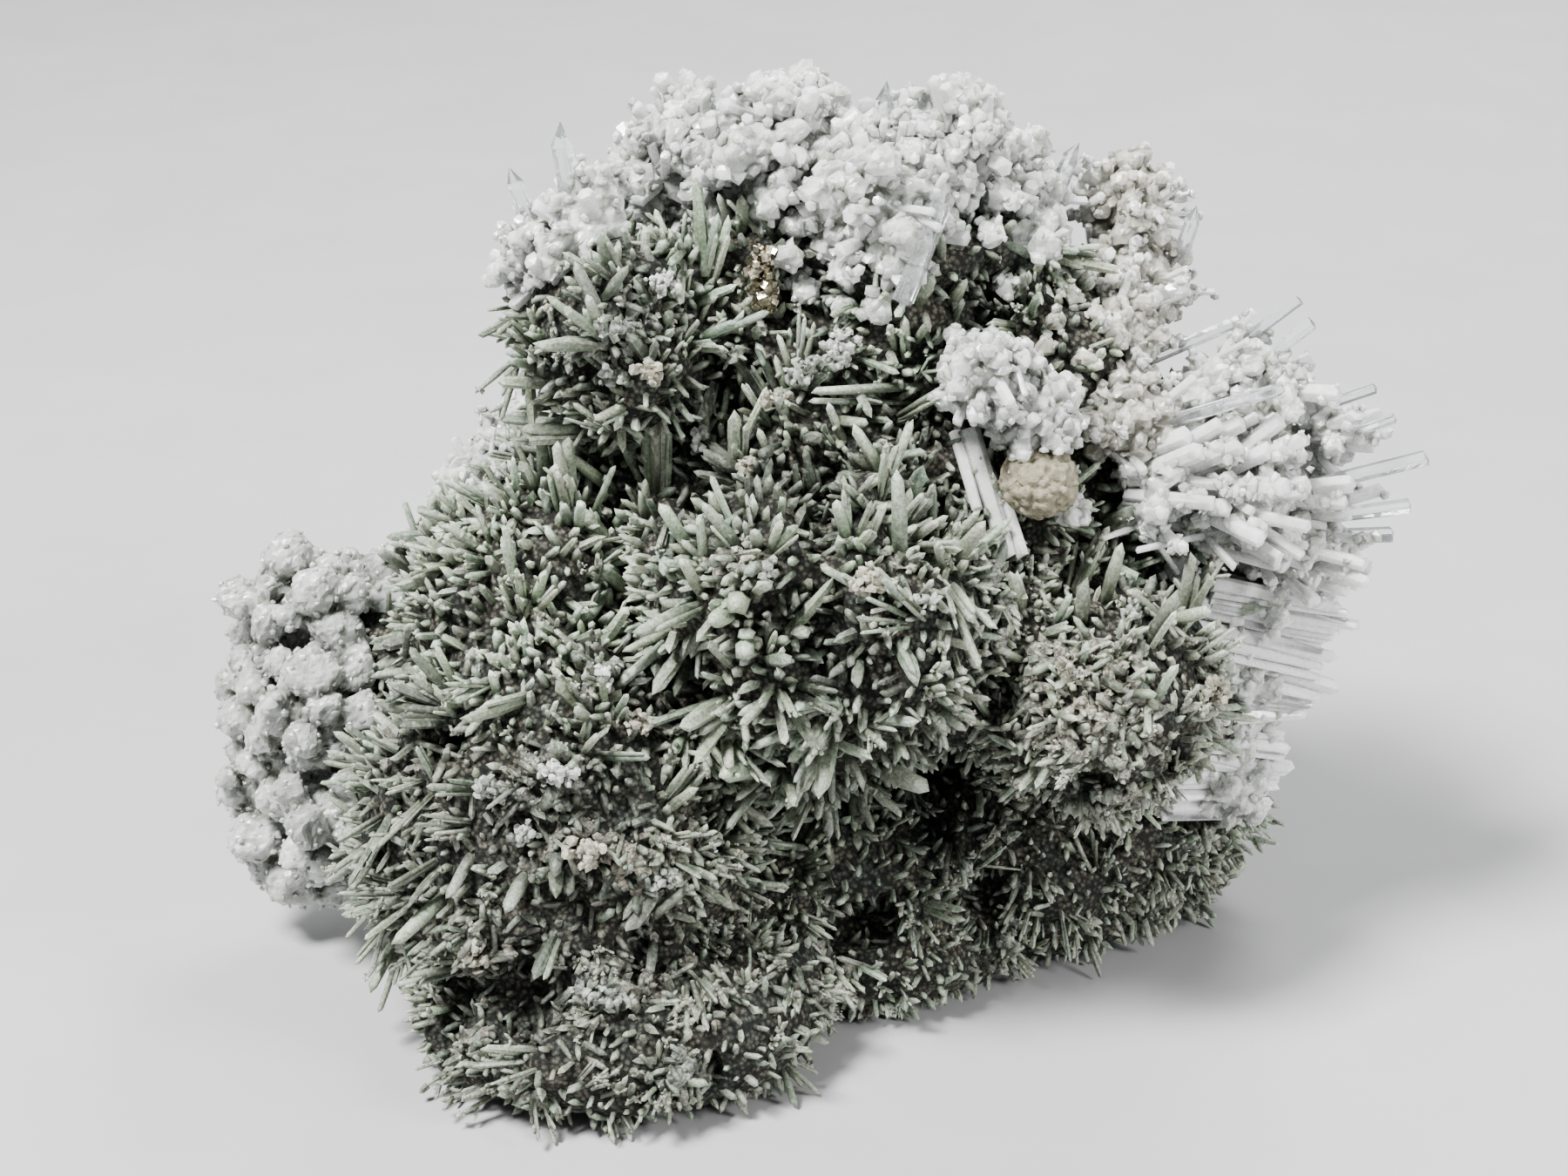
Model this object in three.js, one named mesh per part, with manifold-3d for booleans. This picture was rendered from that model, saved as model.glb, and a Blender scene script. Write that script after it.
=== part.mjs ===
// A calcite on quartz specimen: a lobed block of host rock covered with green quartz needles and clear
// quartz prisms, with crusts of white calcite on its top, right and left. Millimetres, +Z up.
// The origin is on the flat underside, below the middle of the block. +X is to the right, -Y to the front.
import * as THREE from 'three';
import { mergeVertices } from 'three/addons/utils/BufferGeometryUtils.js';
import Module from 'manifold-3d';

const wasm = await Module();
wasm.setup();

// ---- Driving dimensions, in mm ----

const SEAT_GAP = 0.3; // between a crust and what it sits on
const TIP_GAPS = 3; // a slender tip is grown along its axis by this many gaps
const CORNER_GAPS = 1.5; // a corner is grown by this many gaps, so that its faces move by about one
const FLOOR_BLOCK = 400; // side of the block that cuts the underside flat
const FLOOR_DEPTH = 60;

// The masses of the block. Each is a cluster of lobes, which are ellipsoids with a centre and radii, and
// every point of its surface is seen from its middle.
const MASSES = [
  {
    middle: [16, 14, 55],
    detail: 8,
    lobes: [
      { name: 'heart', centre: [8, 14, 70], radii: [43, 36, 39] },
      { name: 'front', centre: [2, -12, 66], radii: [31, 26, 28] },
      { name: 'right', centre: [52, 12, 76], radii: [16, 20, 19] },
      { name: 'dusty bulge', centre: [38, -14, 54], radii: [22, 22, 19] },
      { name: 'lower right', centre: [54, 12, 46], radii: [16, 21, 20] },
      { name: 'right base', centre: [32, 20, 16], radii: [38, 32, 23] },
      { name: 'keel', centre: [-6, 10, 20], radii: [42, 35, 24] },
      { name: 'back', centre: [10, 38, 52], radii: [47, 28, 44] },
      { name: 'toe', centre: [6, -6, 8], radii: [26, 18, 12] },
    ],
  },
  {
    middle: [-40, -2, 38],
    detail: 7,
    lobes: [
      { name: 'lower left', centre: [-38, -14, 32], radii: [32, 28, 35] },
      { name: 'foot', centre: [-30, -26, 9], radii: [33, 26, 16] },
      { name: 'left ridge', centre: [-43, 0, 58], radii: [21, 23, 23] },
      { name: 'left arm', centre: [-66, 18, 38], radii: [14, 17, 20] },
      { name: 'left shoulder', centre: [-36, 18, 70], radii: [18, 22, 15] },
    ],
  },
  {
    middle: [4, 20, 103],
    detail: 6,
    lobes: [
      { name: 'crown', centre: [6, 14, 106], radii: [32, 24, 19] },
      { name: 'upper left', centre: [-29, 4, 103], radii: [18, 19, 18] },
      { name: 'upper right', centre: [34, 12, 94], radii: [17, 20, 18] },
    ],
  },
];
const ROOT_SINK = [0, 1.5]; // how far the corners between the crystal points sink in
const POINT_RISE = [4, 7.5]; // how far the crystal points stand out of the block
const POINT_LEAN = 0.35;
const FROM_MIDDLE = 1; // how much a point keeps to the direction from the middle of its mass

// The hollows eaten into the front of the block, each an ellipsoid.
const HOLLOWS = [
  { name: 'under the crown', centre: [-7, -12, 110], radii: [17, 15, 9] },
  { name: 'centre right', centre: [19, -24, 87], radii: [12, 13, 10] },
  { name: 'left cavity', centre: [-30, -35, 66], radii: [8, 10, 9] },
  { name: 'under the bulge', centre: [22, -31, 35], radii: [26, 17, 8] },
];

// Green needles: a spray is a few tapered six-sided crystals that spread from one root.
const SPRAYS = 8; // tried on each mass
const NEEDLES_PER_SPRAY = 2;
const NEEDLE_LENGTH = [13, 18];
const NEEDLE_RADIUS = [1.6, 2.4];
const NEEDLE_TAPER = 0.7;
const ROOT_DEPTH = 5;
const ROOT_SPREAD = 3.2; // between the roots of one spray
const SPRAY_SPREAD = 0.6;
const LOWEST_SPRAY = 6;
const CRUST_CLEARANCE = 3; // between a crystal of the block and a crust

// Clear prisms: root, tip and radius of each.
const CLEAR_PRISMS = [
  { root: [7, 12, 112], tip: [9, 10, 138.5], radius: 1.7 },
  { root: [30, 16, 108], tip: [37.5, 20, 127], radius: 1.6 },
  { root: [16.5, -2, 122.5], tip: [9, -14.5, 106.5], radius: 1.4 },
  { root: [-35, 8, 112], tip: [-37.7, 8, 133], radius: 2.1 },
  { root: [-39, 6, 110], tip: [-44.5, 4, 127.5], radius: 1.8 },
  { root: [50, 18, 98], tip: [56, 22, 116.5], radius: 1.7 },
  { root: [52, 12, 90], tip: [70.6, 12, 105.3], radius: 1.7 },
  { root: [54, 8, 88], tip: [72.5, 10, 102.3], radius: 1.8 },
  { root: [56, 6, 84], tip: [81.7, 6, 93.6], radius: 1.6 },
  { root: [56, 4, 80], tip: [84.5, 4, 89.6], radius: 1.5 },
  { root: [56, 2, 75], tip: [89.3, 2, 84.2], radius: 1.8 },
  { root: [56, 2, 72], tip: [87.5, 2, 76.5], radius: 1.7 },
  { root: [56, 4, 70], tip: [85.3, 2, 71.9], radius: 1.8 },
];
const PRISM_TAPER = 0.85;
const POINT_LENGTH = 1.6; // length of a crystal's point, in radii

// Calcite crusts: each lump [x, y, z, radius] is a knot of crystals, with flat ones standing out of some.
const CRUSTS = [
  {
    name: 'calcite_crown',
    colour: 0xe4e6e3,
    lumps: [
      [-19, 24, 121, 11.5], [-5, 13, 126, 12.5], [9, 5, 122, 12], [18, 14, 125, 12], [26, 16, 117, 10],
      [12, 27, 117, 13],
    ],
  },
  {
    name: 'calcite_arm',
    colour: 0xcfcbc0,
    lumps: [[46, 25, 116, 8], [46, 21, 105, 10], [43, 8, 101, 9], [44, -2, 92, 8]],
  },
  {
    name: 'calcite_fan',
    colour: 0xe0e2e0,
    lumps: [[62, 7, 90, 11], [61, -2, 80, 11], [70, 4, 71, 10], [50, -5, 83, 8]],
  },
  {
    name: 'calcite_left',
    colour: 0xd9dcd8,
    lumps: [
      [-78, 16, 54, 10], [-85, 12, 40, 10], [-85, 11, 25, 10.5], [-79, 9, 14, 9.5],
      [-76, 2, 42, 9], [-75, -1, 26, 9], [-78, 23, 36, 11],
    ],
  },
  {
    name: 'calcite_shoulder',
    colour: 0xd6d9d4,
    lumps: [[-52, 18, 72, 8], [-45, 23, 77, 8]],
  },
  {
    name: 'calcite_upper_left',
    colour: 0xe2e4e2,
    lumps: [[-33, 5, 119, 7], [-39, 3, 114, 6.5]],
  },
  {
    name: 'calcite_centre',
    colour: 0xe3e5e3,
    flatsPerLump: 1,
    lumps: [[23, -12, 102, 7.5], [30, -12, 96, 7]],
  },
];
const KNOT_DETAIL = 1;
const KNOT_REACH = [0.7, 1.1]; // how far the corners of a knot stand out, in radii
const FLAT_RADIUS = 0.75; // of a flat crystal, in radii of its lump
const FLAT_THICKNESS = 0.62;
const FLAT_PLACE = 0.6; // of its centre, in radii of its lump

// White blades at the lower right: plates that stand out to the right, one above another.
const BLADES = {
  count: 5,
  top: 58,
  bottom: 25,
  rootX: 62,
  frontY: 2,
  depthSpread: 9,
  topReach: 21,
  bottomReach: 12,
  radius: 10.5,
  thickness: 6,
  tilt: 0.3, // how much the topmost blade leans up, and the lowest one down
};
const SPINE_BREADTH = 7; // of the crust that the blades stand on

const DOLOMITE = { centre: [30.5, -16, 87.5], radii: [6, 5.5, 5.2] };

// Pyrite: a short column of intergrown cubes on the back wall of the upper hollow.
const PYRITE_CUBES = [
  { centre: [-8.6, 0.6, 109.6], size: 3.8, turn: 0.3 },
  { centre: [-8.2, 0.2, 112.8], size: 3.8, turn: 0.9 },
  { centre: [-8.9, -1.0, 115.6], size: 3.4, turn: 1.4 },
];

const SEEDS = { needles: 1907, crusts: 13, blades: 77 };

// ---- Random numbers that are the same on every run ----

function seededRandom(seed) {
  let state = seed;
  return () => {
    state = (state + 0x6d2b79f5) | 0;
    let mixed = Math.imul(state ^ (state >>> 15), 1 | state);
    mixed = (mixed + Math.imul(mixed ^ (mixed >>> 7), 61 | mixed)) ^ mixed;
    return ((mixed ^ (mixed >>> 14)) >>> 0) / 2 ** 32;
  };
}

const between = (random, [low, high]) => low + (high - low) * random();
const vector = ([x, y, z]) => new THREE.Vector3(x, y, z);

function sphereDirection(height, turn) {
  const flat = Math.sqrt(1 - height * height);
  return new THREE.Vector3(flat * Math.cos(turn), flat * Math.sin(turn), height);
}

const UP = new THREE.Vector3(0, 1, 0); // the axis of a three.js solid of revolution
const MERGE_DISTANCE = 1e-4;

const randomDirection = (random) => sphereDirection(1 - 2 * random(), 2 * Math.PI * random());

// ---- From three.js geometry to solids and back ----

function solidFrom(geometry) {
  const bare = geometry.clone();
  bare.deleteAttribute('normal');
  bare.deleteAttribute('uv');
  const merged = mergeVertices(bare, MERGE_DISTANCE);
  const index = merged.index.array;
  const corners = [];
  for (let i = 0; i < index.length; i += 3) {
    const [a, b, c] = [index[i], index[i + 1], index[i + 2]];
    if (a !== b && b !== c && c !== a) corners.push(a, b, c);
  }
  const vertProperties = merged.attributes.position.array;
  const triVerts = new Uint32Array(corners);
  return new wasm.Manifold(new wasm.Mesh({ numProp: 3, vertProperties, triVerts }));
}

function geometryFrom(solid) {
  const mesh = solid.getMesh();
  const geometry = new THREE.BufferGeometry();
  geometry.setAttribute('position', new THREE.BufferAttribute(mesh.vertProperties, 3));
  geometry.setIndex(new THREE.BufferAttribute(mesh.triVerts, 1));
  geometry.computeVertexNormals();
  return geometry;
}

const join = (solids) => wasm.Manifold.union(solids);

// The largest connected body of a solid, with any loose chip or sealed cavity dropped.
function mainBody(solid) {
  return solid.decompose().reduce((best, body) => (body.volume() > best.volume() ? body : best));
}

// ---- Forms ----

// A sphere of flat faces, with each corner merged into one.
function facetedSphere(detail) {
  const sphere = new THREE.IcosahedronGeometry(1, detail);
  sphere.deleteAttribute('normal');
  sphere.deleteAttribute('uv');
  return mergeVertices(sphere, MERGE_DISTANCE);
}

// A faceted sphere whose corners are each moved to where the place function puts them, then all
// outwards by a margin.
function facetedBody(detail, grow, place) {
  const geometry = facetedSphere(detail);
  const { position } = geometry.attributes;
  const corner = new THREE.Vector3();
  for (let i = 0; i < position.count; i += 1) {
    const { x, y, z } = place(corner.fromBufferAttribute(position, i).clone(), i);
    position.setXYZ(i, x, y, z);
  }
  geometry.computeVertexNormals();
  const { normal } = geometry.attributes;
  const outward = new THREE.Vector3();
  for (let i = 0; i < position.count; i += 1) {
    corner.fromBufferAttribute(position, i);
    corner.addScaledVector(outward.fromBufferAttribute(normal, i), grow * CORNER_GAPS);
    position.setXYZ(i, corner.x, corner.y, corner.z);
  }
  return solidFrom(geometry);
}

// A knot of crystals: a sphere whose corners stand out by different amounts.
function knot(centre, radius, grow, random) {
  return facetedBody(KNOT_DETAIL, grow, (direction) =>
    direction.multiplyScalar(radius * between(random, KNOT_REACH)).add(centre),
  );
}

// A plain faceted ellipsoid.
function faceted({ centre, radii }) {
  return facetedBody(KNOT_DETAIL, 0, (direction) => direction.multiply(vector(radii)).add(vector(centre)));
}

// A solid of revolution with a few flat sides, turned from +Y to an axis and moved to its place.
function turned(profile, sides, axis, place) {
  const geometry = new THREE.LatheGeometry(profile.map(([r, h]) => new THREE.Vector2(r, h)), sides);
  geometry.applyQuaternion(new THREE.Quaternion().setFromUnitVectors(UP, axis));
  geometry.translate(place.x, place.y, place.z);
  return solidFrom(geometry);
}

// A six-sided crystal from its root to its pointed tip.
function crystal({ root, tip, radius, taper = PRISM_TAPER }, grow = 0) {
  const start = vector(root);
  const axis = vector(tip).sub(start);
  const length = axis.length() + TIP_GAPS * grow;
  const wide = radius + grow;
  const profile = [[0, 0], [wide, 0], [wide * taper, length - POINT_LENGTH * wide], [0, length]];
  return turned(profile, 6, axis.normalize(), start);
}

// A flat six-sided calcite crystal, thickest in the middle.
function flatCrystal(centre, normal, radius, thickness, grow) {
  const rise = thickness / 2 + 2 * grow;
  return turned([[0, -rise], [radius + 2 * grow, 0], [0, rise]], 6, normal, centre);
}

// ---- The block of rock with its quartz ----

// Where a ray from a point crosses an ellipsoid: the nearest and the farthest distance, or null.
function crossings(from, direction, { centre, radii }, margin = 0) {
  const reach = vector(radii).addScalar(margin);
  const start = from.clone().sub(vector(centre)).divide(reach);
  const step = direction.clone().divide(reach);
  const a = step.dot(step);
  const b = start.dot(step);
  const inside = b * b - a * (start.dot(start) - 1);
  return inside < 0 ? null : [(-b - Math.sqrt(inside)) / a, (-b + Math.sqrt(inside)) / a];
}

function insideLobe(point, { centre, radii }, margin) {
  const reach = vector(radii).addScalar(margin);
  return point.clone().sub(vector(centre)).divide(reach).length() < 1;
}

// The surface of a mass along a direction from its middle: the point, and the way that it faces.
function massSurface(mass, direction) {
  const middle = vector(mass.middle);
  let far = 0;
  let lobe = null;
  for (const candidate of mass.lobes) {
    const hit = crossings(middle, direction, candidate);
    if (hit && hit[1] > far) {
      far = hit[1];
      lobe = candidate;
    }
  }
  const radii = vector(lobe.radii);
  const outward = middle.clone().addScaledVector(direction, far).sub(vector(lobe.centre));
  outward.divide(radii).divide(radii).normalize();
  for (const hollow of HOLLOWS) {
    const hit = crossings(middle, direction, hollow);
    if (hit && hit[0] > 0 && hit[0] < far && hit[1] > far) far = hit[0];
  }
  return { point: middle.addScaledVector(direction, far), outward };
}

function underCrust(point) {
  const lumps = CRUSTS.flatMap((crust) => crust.lumps);
  return lumps.some(([x, y, z, radius]) => point.distanceTo(vector([x, y, z])) < radius + CRUST_CLEARANCE);
}

function besideBlades(point) {
  const { rootX, top, bottom, thickness } = BLADES;
  return point.x > rootX - thickness && point.z > bottom - thickness && point.z < top + thickness;
}

const isFree = (point) => !underCrust(point) && !besideBlades(point);

// Picks corners of a faceted sphere so that no two of them are neighbours.
function spacedCorners(geometry) {
  const index = geometry.index.array;
  const neighbours = Array.from({ length: geometry.attributes.position.count }, () => new Set());
  for (let i = 0; i < index.length; i += 3) {
    for (const [a, b] of [[0, 1], [1, 2], [2, 0]]) {
      neighbours[index[i + a]].add(index[i + b]);
      neighbours[index[i + b]].add(index[i + a]);
    }
  }
  const picked = new Set();
  neighbours.forEach((around, corner) => {
    if (![...around].some((other) => picked.has(other))) picked.add(corner);
  });
  return picked;
}

// One mass with its druse: spaced corners stand out as the points of six-sided crystals.
function druseMass(mass, grow) {
  const random = seededRandom(mass.detail + mass.lobes.length);
  const pointCorners = spacedCorners(facetedSphere(mass.detail));
  return facetedBody(mass.detail, grow, (direction, corner) => {
    const { point, outward } = massSurface(mass, direction);
    const lean = randomDirection(random).multiplyScalar(POINT_LEAN);
    const rise = between(random, POINT_RISE);
    const sink = between(random, ROOT_SINK);
    const standsOut = pointCorners.has(corner) && isFree(point);
    if (!standsOut) return point.addScaledVector(direction, -sink);
    return point.addScaledVector(outward.add(lean).addScaledVector(direction, FROM_MIDDLE).normalize(), rise);
  });
}

// Whether a point on one mass lies inside another, or in a hollow.
function isHidden(point, mass) {
  const others = MASSES.filter((other) => other !== mass).flatMap((other) => other.lobes);
  return [...others, ...HOLLOWS].some((lobe) => insideLobe(point, lobe, 1));
}

// Roots and directions of the sprays, spread evenly about each mass.
function spraySites(mass) {
  const goldenTurn = Math.PI * (3 - Math.sqrt(5));
  const sites = [];
  for (let i = 0; i < SPRAYS; i += 1) {
    const site = massSurface(mass, sphereDirection(1 - (2 * i + 1) / SPRAYS, goldenTurn * i));
    const { point } = site;
    if (point.z > LOWEST_SPRAY && isFree(point) && !isHidden(point, mass)) sites.push(site);
  }
  return sites;
}

function needleSprays(random) {
  const needles = [];
  for (const { point, outward } of MASSES.flatMap(spraySites)) {
    for (let i = 0; i < NEEDLES_PER_SPRAY; i += 1) {
      const lean = randomDirection(random).multiplyScalar(SPRAY_SPREAD);
      const axis = outward.clone().add(lean).normalize();
      const root = point.clone().addScaledVector(outward, -ROOT_DEPTH).addScaledVector(lean, ROOT_SPREAD);
      const tip = root.clone().addScaledVector(axis, between(random, NEEDLE_LENGTH));
      const radius = between(random, NEEDLE_RADIUS);
      if (tip.z > 2 && isFree(tip)) {
        needles.push({ root: root.toArray(), tip: tip.toArray(), radius, taper: NEEDLE_TAPER });
      }
    }
  }
  return needles;
}

// The whole quartz body, grown outwards by a margin. The margin makes the seats of the crusts.
function quartzBody(needles, grow = 0) {
  const crystals = [...needles, ...CLEAR_PRISMS].map((shape) => crystal(shape, grow));
  return join([...MASSES.map((mass) => druseMass(mass, grow)), ...crystals]);
}

function belowFloor() {
  const block = new THREE.BoxGeometry(FLOOR_BLOCK, FLOOR_BLOCK, FLOOR_DEPTH);
  block.translate(0, 0, -FLOOR_DEPTH / 2);
  return solidFrom(block);
}

// ---- Calcite, dolomite and pyrite ----

function crustBody({ lumps, flatsPerLump = 0 }, grow = 0) {
  const random = seededRandom(SEEDS.crusts * lumps.length);
  const parts = [];
  for (const [x, y, z, radius] of lumps) {
    const centre = vector([x, y, z]);
    parts.push(knot(centre, radius, grow, random));
    for (let i = 0; i < flatsPerLump; i += 1) {
      const place = centre.clone().addScaledVector(randomDirection(random), radius * FLAT_PLACE);
      const normal = randomDirection(random);
      parts.push(flatCrystal(place, normal, radius * FLAT_RADIUS, radius * FLAT_THICKNESS, grow));
    }
  }
  return join(parts);
}

function bladeBody() {
  const random = seededRandom(SEEDS.blades);
  const { count, top, bottom, rootX, frontY, depthSpread, radius, thickness, tilt } = BLADES;
  const { topReach, bottomReach } = BLADES;
  const spine = {
    centre: [rootX + 2, frontY + depthSpread / 2, (top + bottom) / 2],
    radii: [SPINE_BREADTH, depthSpread, (top - bottom) / 2],
  };
  const parts = [faceted(spine)];
  for (let i = 0; i < count; i += 1) {
    const share = i / (count - 1);
    const out = topReach + (bottomReach - topReach) * share - radius;
    const height = top + (bottom - top) * share;
    const centre = new THREE.Vector3(rootX + out, frontY + depthSpread * random(), height);
    const normal = new THREE.Vector3(tilt * (2 * share - 1), tilt * random(), 1).normalize();
    parts.push(flatCrystal(centre, normal, radius, thickness, 0));
  }
  return join(parts);
}

function pyriteBody() {
  return join(
    PYRITE_CUBES.map(({ centre, size, turn }) => {
      const cube = new THREE.BoxGeometry(size, size, size);
      cube.rotateX(turn);
      cube.rotateZ(turn * 2);
      cube.translate(...centre);
      return solidFrom(cube);
    }),
  );
}

// ---- Assembly ----

const specimen = new THREE.Group();
specimen.name = 'calcite_on_quartz';

function addPiece(name, solid, colour, roughness, metalness = 0) {
  const material = new THREE.MeshStandardMaterial({ color: colour, roughness, metalness });
  const mesh = new THREE.Mesh(geometryFrom(solid), material);
  mesh.name = name;
  specimen.add(mesh);
}

const needles = needleSprays(seededRandom(SEEDS.needles));
const floor = belowFloor();
addPiece('quartz_matrix', mainBody(quartzBody(needles).subtract(floor)), 0x8f9a8c, 0.6);

// Each crust is cut back from the quartz, and from the crusts already placed, by the seat gap.
let taken = join([quartzBody(needles), quartzBody(needles, SEAT_GAP), floor]);
for (const crust of CRUSTS) {
  addPiece(crust.name, mainBody(crustBody(crust).subtract(taken)), crust.colour, 0.45);
  taken = join([taken, crustBody(crust), crustBody(crust, SEAT_GAP)]);
}
addPiece('calcite_blades', mainBody(bladeBody().subtract(taken)), 0xe6e8e6, 0.4);
addPiece('dolomite_lump', mainBody(faceted(DOLOMITE).subtract(taken)), 0xa59e82, 0.85);
addPiece('pyrite_nugget', mainBody(pyriteBody().subtract(taken)), 0xbeaf8c, 0.35, 1);

export default specimen;
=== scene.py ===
import math
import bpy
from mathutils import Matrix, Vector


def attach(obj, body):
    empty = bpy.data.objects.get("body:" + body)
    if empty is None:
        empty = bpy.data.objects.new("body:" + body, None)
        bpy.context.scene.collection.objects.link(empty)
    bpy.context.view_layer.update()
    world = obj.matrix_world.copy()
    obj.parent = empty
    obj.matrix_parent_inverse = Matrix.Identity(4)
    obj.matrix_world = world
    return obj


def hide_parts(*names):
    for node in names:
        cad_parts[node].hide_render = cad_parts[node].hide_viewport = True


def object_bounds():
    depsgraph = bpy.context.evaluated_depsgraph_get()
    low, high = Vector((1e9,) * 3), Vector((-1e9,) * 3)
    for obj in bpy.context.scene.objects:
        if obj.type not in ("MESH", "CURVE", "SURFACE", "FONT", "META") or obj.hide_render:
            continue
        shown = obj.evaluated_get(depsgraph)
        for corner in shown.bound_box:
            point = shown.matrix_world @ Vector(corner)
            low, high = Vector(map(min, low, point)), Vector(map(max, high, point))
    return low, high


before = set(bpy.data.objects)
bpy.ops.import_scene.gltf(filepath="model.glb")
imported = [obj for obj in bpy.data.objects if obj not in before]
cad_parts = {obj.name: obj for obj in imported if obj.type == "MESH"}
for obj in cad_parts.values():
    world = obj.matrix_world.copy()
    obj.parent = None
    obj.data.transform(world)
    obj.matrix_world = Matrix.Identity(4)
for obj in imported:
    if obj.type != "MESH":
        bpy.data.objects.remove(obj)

import types

import bmesh
import bpy
import numpy as np
from mathutils import Vector
from mathutils.bvhtree import BVHTree
from mathutils.kdtree import KDTree

CAD_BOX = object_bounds()
MM = 0.001  # shapes are worked out in millimetres, and each mesh is scaled by this when it is made
BOX_LOW, BOX_HIGH = (np.array(corner) / MM for corner in CAD_BOX)

# ---------------------------------------------------------------------------------------------
# Camera: a handheld shot from a little above, with its aim point near the middle of the block
# ---------------------------------------------------------------------------------------------

PHOTO_SIZE = (1800, 1350)
CAMERA_PITCH = math.radians(24)
CAMERA_DISTANCE = 450.0
CAMERA_AIM = np.array((-5.5, 0.0, 64.0))
MM_PER_PIXEL = 0.13  # of the photo frame, at the distance of the aim point
PIXELS_PER_UNIT = CAMERA_DISTANCE / MM_PER_PIXEL  # focal length in pixels of the photo frame
SENSOR_WIDTH = 36.0
CLIP_START, CLIP_END = 0.01, 20  # metres
FORWARD = np.array((0, math.cos(CAMERA_PITCH), -math.sin(CAMERA_PITCH)))
UPWARD = np.array((0, math.sin(CAMERA_PITCH), math.cos(CAMERA_PITCH)))
RIGHTWARD = np.array((1.0, 0, 0))
CAMERA_PLACE = CAMERA_AIM - CAMERA_DISTANCE * FORWARD


def pixel_ray(pixel):
    """The ray of a pixel of the photo, with a step of 1 mm in depth."""
    across = (pixel[0] - PHOTO_SIZE[0] / 2) / PIXELS_PER_UNIT
    up = (PHOTO_SIZE[1] / 2 - pixel[1]) / PIXELS_PER_UNIT
    return FORWARD + across * RIGHTWARD + up * UPWARD


def at_depth(pixel, depth):
    """The point that far in front of the camera which shows at the pixel."""
    return CAMERA_PLACE + depth * pixel_ray(pixel)


def depth_of(point):
    """How far in front of the camera a point is."""
    return float((np.array(point) - CAMERA_PLACE) @ FORWARD)


# ---------------------------------------------------------------------------------------------
# The block, as in the solids: each lobe and hollow is an ellipsoid, its centre and radii in mm
# ---------------------------------------------------------------------------------------------

LOBES = {
    "heart": ((8, 14, 70), (43, 36, 39)),
    "front": ((2, -12, 66), (31, 26, 28)),
    "right": ((52, 12, 76), (16, 20, 19)),
    "dusty_bulge": ((38, -14, 54), (22, 22, 19)),
    "lower_right": ((54, 12, 46), (16, 21, 20)),
    "right_base": ((32, 20, 16), (38, 32, 23)),
    "keel": ((-6, 10, 20), (42, 35, 24)),
    "back": ((10, 38, 52), (47, 28, 44)),
    "lower_left": ((-38, -14, 32), (32, 28, 35)),
    "foot": ((-30, -26, 9), (33, 26, 16)),
    "toe": ((6, -6, 8), (26, 18, 12)),
    "left_ridge": ((-43, 0, 58), (21, 23, 23)),
    "left_arm": ((-66, 18, 38), (14, 17, 20)),
    "left_shoulder": ((-36, 18, 70), (18, 22, 15)),
    "crown": ((6, 14, 106), (32, 24, 19)),
    "upper_left": ((-29, 4, 103), (18, 19, 18)),
    "upper_right": ((34, 12, 94), (17, 20, 18)),
}
HOLLOWS = {
    "under_crown": ((-7, -12, 110), (17, 15, 9)),
    "centre_right": ((19, -24, 87), (12, 13, 10)),
    "left_cavity": ((-30, -35, 66), (8, 10, 9)),
    "under_bulge": ((22, -31, 35), (26, 17, 8)),
}
# Small open holes between the crystals, as spheres: centre and radius
VUGS = {
    "lower_left_top": ((-28.5, -41, 49), 7.0),
    "lower_left_middle": ((-36, -44, 33), 7.5),
    "lower_left_side": ((-47, -38, 44), 4.5),
    "lower_left_foot": ((-43, -42, 19), 7.0),
    "under_bulge_right": ((38, -32, 48.5), 4.0),
    "bulge_side": ((50, -25, 50), 4.0),
    "upper_middle": ((7, -15, 107), 4.5),
    "ridge": ((-50, -19, 69), 4.0),
}
LOBE_BLEND = 4.0  # how softly two lobes run into each other
HOLLOW_BLEND = 2.0
# Bumps of the ground, each by its height, its size and the seed of its noise
ROCK_BUMPS = ((2.2, 13, 1), (1.0, 5, 2))
HOLLOW_BUMPS = (1.2, 4, 3)
VUG_BUMPS = (1.5, 4, 6)
ROOT_INSET = 2.5  # the rock lies this far inside the lobes, and the crystals stand out past them
ROCK_STEP = 1.9  # grid of the rock's mesh
ROCK_LOW = (-86.0, -56.0, -2.0)
ROCK_HIGH = (78.0, 76.0, 130.0)
REST_HEIGHT = 0.3  # the rock's flat underside
PIT_SPREAD = 8.5  # about how far apart the small pits in the rock are
PIT_RIM = 0.3  # the noise value at which a pit starts
PIT_DEPTH = 13.0  # how deep a pit goes for each 1 of noise past its rim
FAR_AWAY = 1e3

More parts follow.
